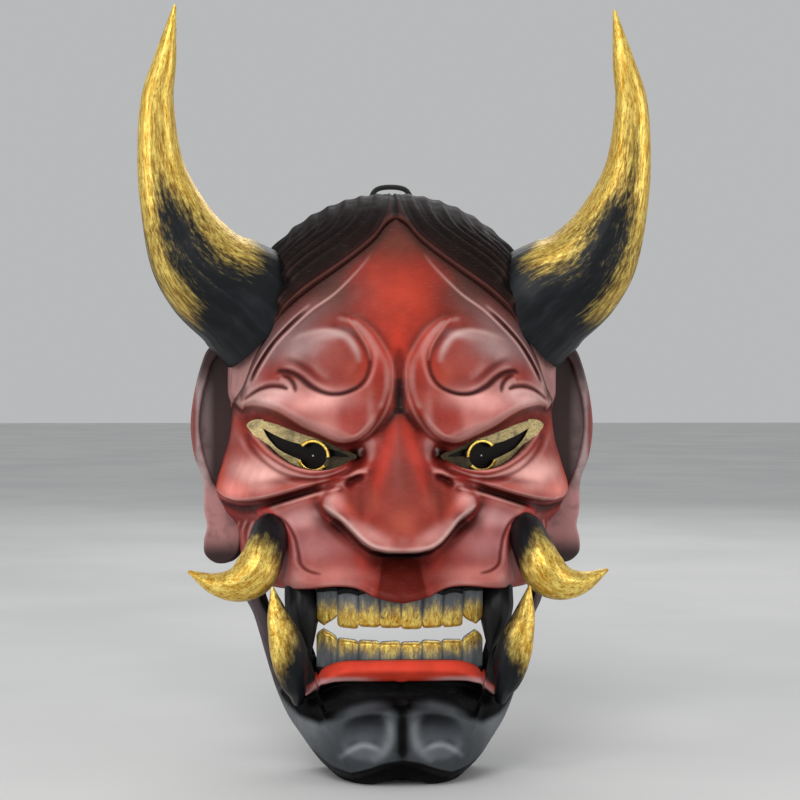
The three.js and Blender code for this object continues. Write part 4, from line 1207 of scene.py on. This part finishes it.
def make_teeth(name, front, root, tip, canine, gold_from, material, seed):
    """A gum ridge with eight separate-looking teeth, bowed with the mouth. root, tip and canine
    are heights, and gold_from is the share of a tooth's length at which its gold begins."""
    chance = np.random.default_rng(seed)
    count, rows = TOOTH_ROW["count"], TOOTH_ROW["rows"]
    columns = count * TOOTH_ROW["columns"]
    up = -1 if tip < root else 1
    u = np.linspace(0, 1, columns + 1)[None, :]
    v = np.linspace(0, 1, rows + 1)[:, None]
    x = mix(-TOOTH_ROW["half_width"], TOOTH_ROW["half_width"], u) + 0 * v
    which = np.clip((u * count).astype(int), 0, count - 1)
    place = 2 * (u * count - which) - 1
    offsets = chance.uniform(-0.7, 0.7, count)[which]
    leans = chance.uniform(-0.5, 0.5, count)[which]
    is_canine = (which == 0) | (which == count - 1)
    end = np.where(is_canine, canine, tip) + offsets
    end = end - up * 1.3 * np.abs(place) ** 8 - up * leans * place
    outward = place * np.sign(u - 0.5)
    end = np.where(is_canine, end - up * 3.4 * np.abs(outward - 0.3), end)
    z = mix(root, end, v)
    gum = 0.36 - 0.06 * (1 - np.abs(place) ** 2.2)
    crown = ease((v - gum) / 0.06)
    body = (1 - np.abs(place) ** 4) ** 0.5
    swell = 2.1 * body * np.sin(math.pi * np.clip(0.5 + 0.42 * (v - gum) / (1 - gum), 0, 1))
    gums = 1.5 * (0.55 + 0.45 * body) + 0.9 * np.exp(-(((v - gum + 0.05) / 0.05) ** 2))
    raised = mix(gums, swell + 0.2 * np.sin(9 * place + 4 * v) * body, crown)
    curl = 2.2 * np.clip((v - 0.93) / 0.07, 0, 1) ** 2
    bowed = front + x * x / TOOTH_ROW["bow"]
    outer = np.stack([x, bowed - raised + curl, z], -1)
    back = np.stack([x, bowed + TOOTH_ROW["thickness"], z], -1)
    # The tone: gold towards the tips, and -1 over the black gums, which also stand in as painted shadow
    # under the lips.
    shade = mix(-1, 0.16 + 1.2 * (v - gold_from) + 0.3 * (body - 1), crown)
    points = flat(outer, back)
    piece = make_mesh(
        name + "_carved", points, grid_faces(np.ones((rows, columns), bool))[:, ::up], material,
        tone=np.concatenate([shade.ravel(), np.full(shade.size, -1.0)]),
        grain=points * [1, 1, 0.35] * MM,
    )
    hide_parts(name)


# ---------------------------------------------------------------- pads, strap and loop


# How far the pads' glued sides lie inside the shells' outer surface.
PAD_SEAT = WALL + 1.8


def make_pad(name, turns, heights, thickness, material, sign=1, bed=None):
    """A foam pad with rounded edges inside a shell. It follows the shell's carving, or where bed
    is given it lies that far forward."""
    columns, rows = 60, 36
    u = np.linspace(-1, 1, columns + 1)[None, :]
    v = np.linspace(-1, 1, rows + 1)[:, None]
    turn = np.radians(mix(turns[0], turns[1], (u + 1) / 2)) + 0 * v
    z = mix(heights[0], heights[1], (v + 1) / 2) + 0 * u
    crown = np.clip((1 - np.abs(u) ** 8) * (1 - np.abs(v) ** 6), 0, 1) ** 0.3
    front = np.stack(plain_surface(turn, z, PAD_SEAT + 0.2), -1)
    back = np.stack(plain_surface(turn, z, PAD_SEAT + 0.4), -1)
    inward = np.stack(plain_surface(turn, z, PAD_SEAT + thickness), -1) - back
    if bed is None:
        bed = 0.7 * np.maximum(0, blur(carve_face(plain_surface(turn, z)[0], z), 3))
    shift = np.stack([0 * z, -bed * grip(turn), 0 * z], -1)
    points = flat(front + shift, back + shift + inward * crown[..., None]) * [sign, 1, 1]
    faces = grid_faces(np.ones((rows, columns), bool))
    piece = make_mesh(name + "_foam", points, faces[:, ::sign], material)
    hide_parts(name)


STRAP = {
    "width": 25, "thickness": 1.8, "height": 2, "back": 142, "straight": 46, "anchor": (83, 46),
    "anchor_length": 16, "bend": 54,
}


def make_strap(material):
    """Ribbed elastic webbing from one side wall round the back of the head to the other."""
    x0, y0 = STRAP["anchor"]
    reach, straight, bend = STRAP["anchor_length"] / 2, STRAP["straight"] / 2, STRAP["bend"]
    half = [(x0, y0 - reach), (x0, y0 + reach)]
    for turn in np.linspace(0, math.pi / 2, 9):
        half.append((
            straight + (x0 - straight) * math.cos(turn),
            STRAP["back"] - bend + bend * math.sin(turn),
        ))
    line = smooth_line(half + [(-x, y) for x, y in reversed(half)], 520)
    along = np.gradient(line, axis=0)
    along /= np.linalg.norm(along, axis=1)[:, None]
    normal = np.stack([along[:, 1], -along[:, 0]], 1)
    across = np.linspace(-1, 1, 41)[:, None]
    ribs = 0.10 * np.sin(np.arange(len(line)) * math.pi / 1.5) + 0.12 * np.cos(across * 9 * math.pi)
    edge = 1 - 0.5 * np.abs(across) ** 14
    layers = []
    for side in (1, -1):
        depth = side * (STRAP["thickness"] / 2 - 0.2 + ribs) * edge
        x, y = line[:, 0] + normal[:, 0] * depth, line[:, 1] + normal[:, 1] * depth
        layers.append(np.stack([x, y, STRAP["height"] + STRAP["width"] / 2 * across + 0 * x], -1))
    faces = grid_faces(np.ones((len(across) - 1, len(line) - 1), bool))
    piece = make_mesh("head_strap_webbing", flat(*layers), faces[:, ::-1], material)
    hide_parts("head_strap")


# The arch turns over between its shoulders and its top: at so much of the half-span, and so much
# of the height between them.
LOOP = {
    "diameter": 3, "half_span": 12, "depth": 63.5, "foot": 106.4, "shoulder": 115, "top": 123.5,
    "turn_span": 0.72, "turn_height": 0.8,
}


def make_loop(material):
    """The braided cord arch over the crown. Both its ends go into the block inside."""
    span, depth = LOOP["half_span"], LOOP["depth"]
    turn = span * LOOP["turn_span"]
    turn_z = mix(LOOP["shoulder"], LOOP["top"], LOOP["turn_height"])
    half = [(span, depth, LOOP["foot"]), (span, depth, LOOP["shoulder"]), (turn, depth, turn_z)]
    mirrored = [(-x, y, z) for x, y, z in half]
    route = smooth_line([*mirrored, (0, depth, LOOP["top"]), *half[::-1]], 31)
    data = bpy.data.curves.new("hanging_loop_cord", "CURVE")
    data.dimensions = "3D"
    data.bevel_depth = LOOP["diameter"] / 2 * MM
    data.bevel_resolution = 5
    spline = data.splines.new("POLY")
    spline.points.add(len(route) - 1)
    for point, place in zip(spline.points, route):
        point.co = (*(place * MM), 1)
    piece = add_piece("hanging_loop_cord", data, material)
    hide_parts("hanging_loop")


# ---------------------------------------------------------------- materials


class Paint:
    """A material with a Principled shader, and short calls that add nodes to it."""

    def __init__(self, name):
        self.material = bpy.data.materials.new(name)
        self.material.use_nodes = True
        self.tree = self.material.node_tree
        self.shader = self.tree.nodes["Principled BSDF"]

    def node(self, kind, inputs=(), **settings):
        node = self.tree.nodes.new("ShaderNode" + kind)
        for key, value in settings.items():
            setattr(node, key, value)
        for key, value in dict(inputs).items():
            self.feed(node.inputs[key], value)
        return node

    def feed(self, socket, value):
        if isinstance(value, bpy.types.NodeSocket):
            self.tree.links.new(value, socket)
        elif isinstance(value, np.ndarray):
            socket.default_value = (*value.tolist(), 1)[: len(socket.default_value)]
        else:
            socket.default_value = value

    def attribute(self, name, output="Fac"):
        return self.node("Attribute", attribute_name=name).outputs[output]

    def place(self):
        return self.node("TexCoord").outputs["Object"]

    def scaled(self, vector, x, y, z):
        return self.node("Mapping", {"Vector": vector, "Scale": (x, y, z)}).outputs[0]

    def noise(self, vector, scale, detail=4.0, rough=0.55):
        found = self.node("TexNoise", {"Vector": vector, "Scale": scale, "Detail": detail,
                                       "Roughness": rough})
        return found.outputs["Fac"]

    def ramp(self, value, start, end, low=0.0, high=1.0):
        found = self.node("MapRange", {"Value": value, "From Min": start, "From Max": end,
                                       "To Min": low, "To Max": high}, interpolation_type="SMOOTHSTEP")
        return found.outputs["Result"]

    def math(self, operation, first, second=0.0):
        return self.node("Math", {0: first, 1: second}, operation=operation).outputs[0]

    def over(self, colour, tint, value, start, end, most=1.0):
        """Paint a tint over a colour, the more the nearer a value comes to the end of a range."""
        return self.blend(self.ramp(value, start, end, 0.0, most), colour, srgb(*tint))

    def blend(self, amount, first, second, how="MIX"):
        node = self.node("Mix", data_type="RGBA", blend_type=how)
        for number, value in ((0, amount), (6, first), (7, second)):
            self.feed(node.inputs[number], value)
        return node.outputs[2]

    def bump(self, height, distance, strength=1.0, after=None):
        inputs = {"Height": height, "Distance": distance, "Strength": strength}
        if after is not None:
            inputs["Normal"] = after
        return self.node("Bump", inputs).outputs[0]

    def finish(self, colour, rough, normal=None, metal=None, **fixed):
        self.feed(self.shader.inputs["Base Color"], colour)
        self.feed(self.shader.inputs["Roughness"], rough)
        if normal is not None:
            self.feed(self.shader.inputs["Normal"], normal)
        if metal is not None:
            self.feed(self.shader.inputs["Metallic"], metal)
        for key, value in fixed.items():
            self.shader.inputs[key.replace("_", " ")].default_value = value
        return self.material


GOLD = srgb(204, 150, 44)
GOLD_LIGHT = srgb(255, 228, 122)
GOLD_BROWN = srgb(84, 54, 20)
BLUE_BLACK = srgb(14, 17, 21)


def shell_material(name, rough, gloss, wear):
    """Satin hand paint over carved wood: mottled colour, faint brush lines and fine grain."""
    p = Paint(name)
    place = p.place()
    colour = p.attribute("paint", "Color")
    mottle = p.ramp(p.noise(place, 90, 5), 0.3, 0.7)
    darker = p.blend(1.0, colour, srgb(120, 96, 96), "MULTIPLY")
    colour = p.blend(p.math("MULTIPLY", mottle, 0.22), colour, darker)
    strokes = p.noise(p.scaled(place, 0.16, 0.16, 1), 1500, 3, 0.7)
    colour = p.over(colour, (232, 196, 190), strokes, 0.54, 0.8, 0.14 * wear)
    colour = p.over(colour, (245, 225, 220), p.noise(place, 2600, 2), 0.66, 0.76, 0.14 * wear)
    roughness = p.ramp(p.noise(place, 160, 4), 0.2, 0.8, rough - 0.08, rough + 0.1)
    normal = p.bump(p.noise(place, 1400, 3), 0.00012, 0.5)
    normal = p.bump(strokes, 0.0002, 0.5, normal)
    return p.finish(colour, roughness, normal, Specular_IOR_Level=gloss)


def streaked_material(name, base, low, high, scale, root=None):
    """Paint with gold dry-brushed over it: the more tone, the more gold. Where a root colour is
    given it covers the places with the lowest tone."""
    p = Paint(name)
    grain = p.attribute("grain", "Vector")
    tone = p.attribute("tone")
    broad = p.noise(grain, 0.22 * scale, 4, 0.6)
    streaks = p.noise(grain, scale, 6, 0.72)
    scratch = p.noise(grain, 3.2 * scale, 4, 0.7)
    mixed = p.math("ADD", p.math("MULTIPLY", broad, 0.55), p.math("MULTIPLY", streaks, 0.65))
    mixed = p.math("ADD", mixed, p.math("MULTIPLY", scratch, 0.3))
    level = p.math("ADD", mixed, tone)
    gold = p.ramp(level, low, high)
    tint = p.blend(p.ramp(streaks, 0.35, 0.65), GOLD, GOLD_LIGHT)
    tint = p.blend(p.ramp(scratch, 0.48, 0.7, 0, 0.85), tint, GOLD_BROWN)
    dark = p.blend(p.ramp(broad, 0.42, 0.7), base, base * 1.8 + 0.006)
    if root is not None:
        dark = p.blend(p.ramp(tone, -0.5, -0.9), dark, root)
    colour = p.blend(gold, dark, tint)
    rough = p.ramp(gold, 0, 1, 0.44, 0.38)
    normal = p.bump(p.math("ADD", streaks, gold), 0.00022, 0.5)
    metal = p.math("MULTIPLY", gold, 0.62)
    return p.finish(colour, rough, normal, metal, Specular_IOR_Level=0.2)


def eye_material():
    """Worn cream paint, with painted shadow under the brow in the inner corners and painted shade down
    the openings' walls and over the back layer.
    """
    p = Paint("eye_paint")
    place = p.place()
    streaks = p.noise(p.scaled(place, 1, 1, 2.6), 420, 6, 0.7)
    patches = p.noise(place, 95, 4)
    colour = p.blend(p.ramp(streaks, 0.35, 0.65), srgb(186, 164, 108), srgb(230, 212, 156))
    colour = p.over(colour, (112, 98, 80), patches, 0.48, 0.66, 0.75)
    colour = p.over(colour, (66, 50, 28), p.noise(place, 1500, 4), 0.56, 0.7, 0.5)
    outward = p.math("ABSOLUTE", p.node("SeparateXYZ", {"Vector": place}).outputs[0])
    # Painted shadow of the brow over the plate's inner part.
    colour = p.over(colour, (30, 18, 15), outward, 0.047, 0.036, 0.9)
    # Painted shade down the openings' walls and over the back layer.
    colour = p.over(colour, (20, 13, 12), p.attribute("depth"), 0.3, 1.2)
    return p.finish(colour, 0.45, p.bump(streaks, 0.0002, 0.5), Specular_IOR_Level=0.1)


def gilt_material():
    p = Paint("gold_ring")
    place = p.place()
    hammer = p.noise(place, 520, 4)
    colour = p.blend(p.ramp(hammer, 0.3, 0.7), GOLD, GOLD_LIGHT)
    colour = p.blend(p.ramp(p.noise(place, 1700, 3), 0.6, 0.72, 0, 0.6), colour, GOLD_BROWN)
    rough = p.ramp(hammer, 0.2, 0.8, 0.25, 0.42)
    return p.finish(colour, rough, p.bump(hammer, 0.0003, 0.6), Metallic=0.8)


def ear_material():
    """Dark brown inside, with a lilac-grey front, a red-brown outer rim and a pinkish lobe, and painted
    shade deeper in the hollow.
    """
    p = Paint("ear_paint")
    place = p.place()
    parts = p.node("SeparateXYZ", {"Vector": place}).outputs
    outward, height = p.math("ABSOLUTE", parts[0]), parts[2]
    colour = p.blend(p.ramp(outward, 0.1, 0.106), srgb(60, 30, 28), srgb(172, 150, 150))
    colour = p.over(colour, (66, 40, 38), height, 0.002, 0.02)
    colour = p.over(colour, (134, 66, 58), outward, 0.1095, 0.112)
    colour = p.over(colour, (186, 132, 130), height, -0.042, -0.056)
    colour = p.over(colour, (44, 22, 22), height, -0.074, -0.088)
    # Painted shade deeper in the hollow.
    colour = p.over(colour, (44, 20, 20), p.attribute("depth"), 1.2, 4, 0.5)
    colour = p.over(colour, (60, 32, 32), p.noise(place, 120, 5), 0.45, 0.7, 0.4)
    return p.finish(colour, 0.45, p.bump(p.noise(place, 900, 4), 0.0002, 0.5))


def cloth_material(name, colour, scale, bump):
    """Woven thread: two crossed waves, broken up a little."""
    p = Paint(name)
    place = p.place()
    thread = {"Vector": place, "Scale": scale, "Distortion": 0.4}
    warp, weft = (
        p.node("TexWave", thread, bands_direction=axis).outputs["Fac"] for axis in ("X", "Z")
    )
    weave = p.math("MULTIPLY", warp, weft)
    fuzz = p.noise(place, 1800, 3)
    light = p.math("ADD", p.math("MULTIPLY", weave, 0.6), p.math("MULTIPLY", fuzz, 0.4))
    tint = p.blend(light, colour * 0.55, colour * 1.9 + 0.004)
    return p.finish(tint, 0.9, p.bump(weave, bump, 0.7), Sheen_Weight=0.25)


def foam_material():
    p = Paint("foam")
    place = p.place()
    cells = p.node("TexVoronoi", {"Vector": place, "Scale": 1100}).outputs["Distance"]
    colour = p.blend(p.ramp(cells, 0, 0.7), srgb(26, 26, 28), srgb(58, 58, 61))
    colour = p.over(colour, (36, 36, 40), p.noise(place, 60, 3), 0.4, 0.7, 0.4)
    return p.finish(colour, 0.95, p.bump(cells, 0.0003, 0.6), Sheen_Weight=0.3)


def plastic_material():
    p = Paint("slider_plastic")
    place = p.place()
    grain = p.noise(place, 2400, 3)
    colour = p.blend(p.ramp(p.noise(place, 140, 4), 0.3, 0.7), srgb(22, 22, 24), srgb(38, 38, 41))
    return p.finish(colour, p.ramp(grain, 0.2, 0.8, 0.4, 0.58), p.bump(grain, 0.0001, 0.6))


def steel_material():
    p = Paint("steel")
    place = p.place()
    brushed = p.noise(p.scaled(place, 1, 6, 1), 900, 4)
    colour = p.blend(p.ramp(brushed, 0.3, 0.7), srgb(150, 152, 156), srgb(205, 206, 210))
    rough = p.ramp(brushed, 0.2, 0.8, 0.25, 0.45)
    return p.finish(colour, rough, p.bump(brushed, 0.0001, 0.5), Metallic=1.0)


def wood_material():
    p = Paint("block_wood")
    place = p.place()
    rings = p.node("TexWave", {"Vector": place, "Scale": 160, "Distortion": 5, "Detail": 3},
                   bands_direction="Z").outputs["Fac"]
    colour = p.blend(rings, srgb(150, 112, 70), srgb(190, 152, 104))
    return p.finish(colour, 0.65, p.bump(rings, 0.0002, 0.5))


def recolour(node, material):
    """Gives a CAD node that keeps its shape a finished material."""
    piece = bpy.data.objects[node]
    piece.data.materials.clear()
    piece.data.materials.append(material)


# ---------------------------------------------------------------- camera, light and floor


# In metres: how far below the CAD's lowest point the floor lies, and how far it reaches.
FLOOR_GAP = 0.0005
FLOOR_REACH = 14
# The lights' names, places, targets, sizes in metres and powers in watts.
LIGHTS = [
    ("key", (-0.4, -1.3, 1.35), (0, -0.05, -0.02), 0.9, 15),
    ("left", (-1.5, -0.7, 0.35), (0, 0, 0), 1.2, 7),
    ("right", (1.5, -0.7, 0.35), (0, 0, 0), 1.2, 7),
    ("back", (0.3, 1.6, 1.1), (0, 0, 0), 1.2, 7),
]
SKY, SKY_STRENGTH = (0.86, 0.87, 0.88, 1), 0.56
# Level with the eyes, 0.9 m in front of the face and a little to its left.
CAMERA_PLACE, CAMERA_AIM = (-0.046, -0.94, 0), (0, -0.04, 0)
CAMERA_LENS, CAMERA_SENSOR = 77.9, 36


def facing(place, target):
    """The turn that points a light or a camera from a place to a target."""
    return (Vector(target) - Vector(place)).to_track_quat("-Z", "Y").to_euler()


def make_stage():
    floor_z = CAD_BOUNDS[0][2] - FLOOR_GAP
    p = Paint("stage_floor")
    place = p.place()
    colour = p.blend(p.ramp(p.noise(place, 3, 3), 0.3, 0.7), srgb(206, 206, 206), srgb(216, 216, 215))
    p.finish(colour, 0.8)
    mesh = bpy.data.meshes.new("stage_floor")
    corners = [(-1, -1), (1, -1), (1, 1), (-1, 1)]
    points = [(x * FLOOR_REACH, y * FLOOR_REACH, floor_z) for x, y in corners]
    mesh.from_pydata(points, [], [(0, 1, 2, 3)])
    mesh.materials.append(p.material)
    floor = bpy.data.objects.new("stage_floor", mesh)
    bpy.context.scene.collection.objects.link(floor)


def make_lights():
    for name, place, target, size, power in LIGHTS:
        data = bpy.data.lights.new(name, "AREA")
        data.shape = "DISK"
        data.size = size
        data.energy = power
        light = bpy.data.objects.new(name, data)
        light.location = place
        light.rotation_euler = facing(place, target)
        bpy.context.scene.collection.objects.link(light)
    world = bpy.data.worlds.new("studio")
    world.use_nodes = True
    world.node_tree.nodes["Background"].inputs[0].default_value = SKY
    world.node_tree.nodes["Background"].inputs[1].default_value = SKY_STRENGTH
    bpy.context.scene.world = world


def make_camera():
    data = bpy.data.cameras.new("camera")
    data.lens = CAMERA_LENS
    data.sensor_width = CAMERA_SENSOR
    camera = bpy.data.objects.new("camera", data)
    camera.location = CAMERA_PLACE
    camera.rotation_euler = facing(CAMERA_PLACE, CAMERA_AIM)
    bpy.context.scene.collection.objects.link(camera)
    bpy.context.scene.camera = camera
    bpy.context.scene.view_settings.view_transform = "Standard"


# ---------------------------------------------------------------- the whole mask


def main():
    make_camera()
    make_stage()
    make_lights()
    make_loop(cloth_material("cord", srgb(20, 19, 19), 900, 0.0004))
    face = shell_material("face_paint", 0.42, 0.13, 0.45)
    hair = shell_material("hair_paint", 0.55, 0.05, 0.25)
    jaw = shell_material("jaw_paint", 0.45, 0.06, 0.15)
    shell_piece("face_shell", (LIP_EDGE, FACE_TOP), 400, 430, face_height, face_paint, face,
                hole=EYE_BED)
    shell_piece("hair_cap", (HAIRLINE, CROWN_Z + SEAM), 380, 170, hair_height, hair_paint, hair,
                crown=True)
    shell_piece("lower_jaw", (CHIN_Z - SEAM, JAW_EDGE), 360, 260, jaw_height, jaw_paint, jaw)
    horn = streaked_material("horn_paint", BLUE_BLACK, 0.88, 1.34, 680)
    tusk = streaked_material("tusk_paint", BLUE_BLACK, 0.8, 1.5, 420)
    fang = streaked_material("fang_paint", srgb(16, 16, 18), 1.0, 1.3, 500)
    tooth = streaked_material("tooth_paint", srgb(92, 96, 99), 0.9, 1.4, 420, srgb(8, 8, 9))
    sweep_pair("horn", HORN, 300, 112, horn_shape, horn, horn_tone)
    sweep_pair("cheek_tusk", CHEEK_TUSK, 120, 72, tusk_shape, tusk, tusk_tone)
    sweep_pair("lower_tusk", LOWER_TUSK, 120, 64, tusk_shape, tusk, lower_tusk_tone)
    sweep_pair("upper_fang", UPPER_FANG, 90, 56, tusk_shape, fang, fang_tone)
    make_eyes(eye_material(), gilt_material())
    make_ears(ear_material())
    make_teeth("upper_teeth", -52, -91, -117.5, -116.5, 0.42, tooth, 3)
    make_teeth("lower_teeth", -50, -148, -124.5, -119.5, 0.58, tooth, 5)
    foam = foam_material()
    make_pad("forehead_pad", (-26, 26), (42, 64), 10, foam)
    for side, sign in SIDES:
        make_pad(f"cheek_pad_{side}", (56, 70), (-56, -42), 8, foam, sign)
    make_pad("chin_pad", (-22, 22), (-182, -164), 9, foam, bed=6)
    make_strap(cloth_material("elastic", srgb(26, 26, 29), 420, 0.0003))
    recolour("strap_slider", plastic_material())
    steel = steel_material()
    for kind in ("strap", "ear", "horn"):
        for side, _ in SIDES:
            recolour(f"{kind}_screw_{side}", steel)
    recolour("loop_block", wood_material())


main()
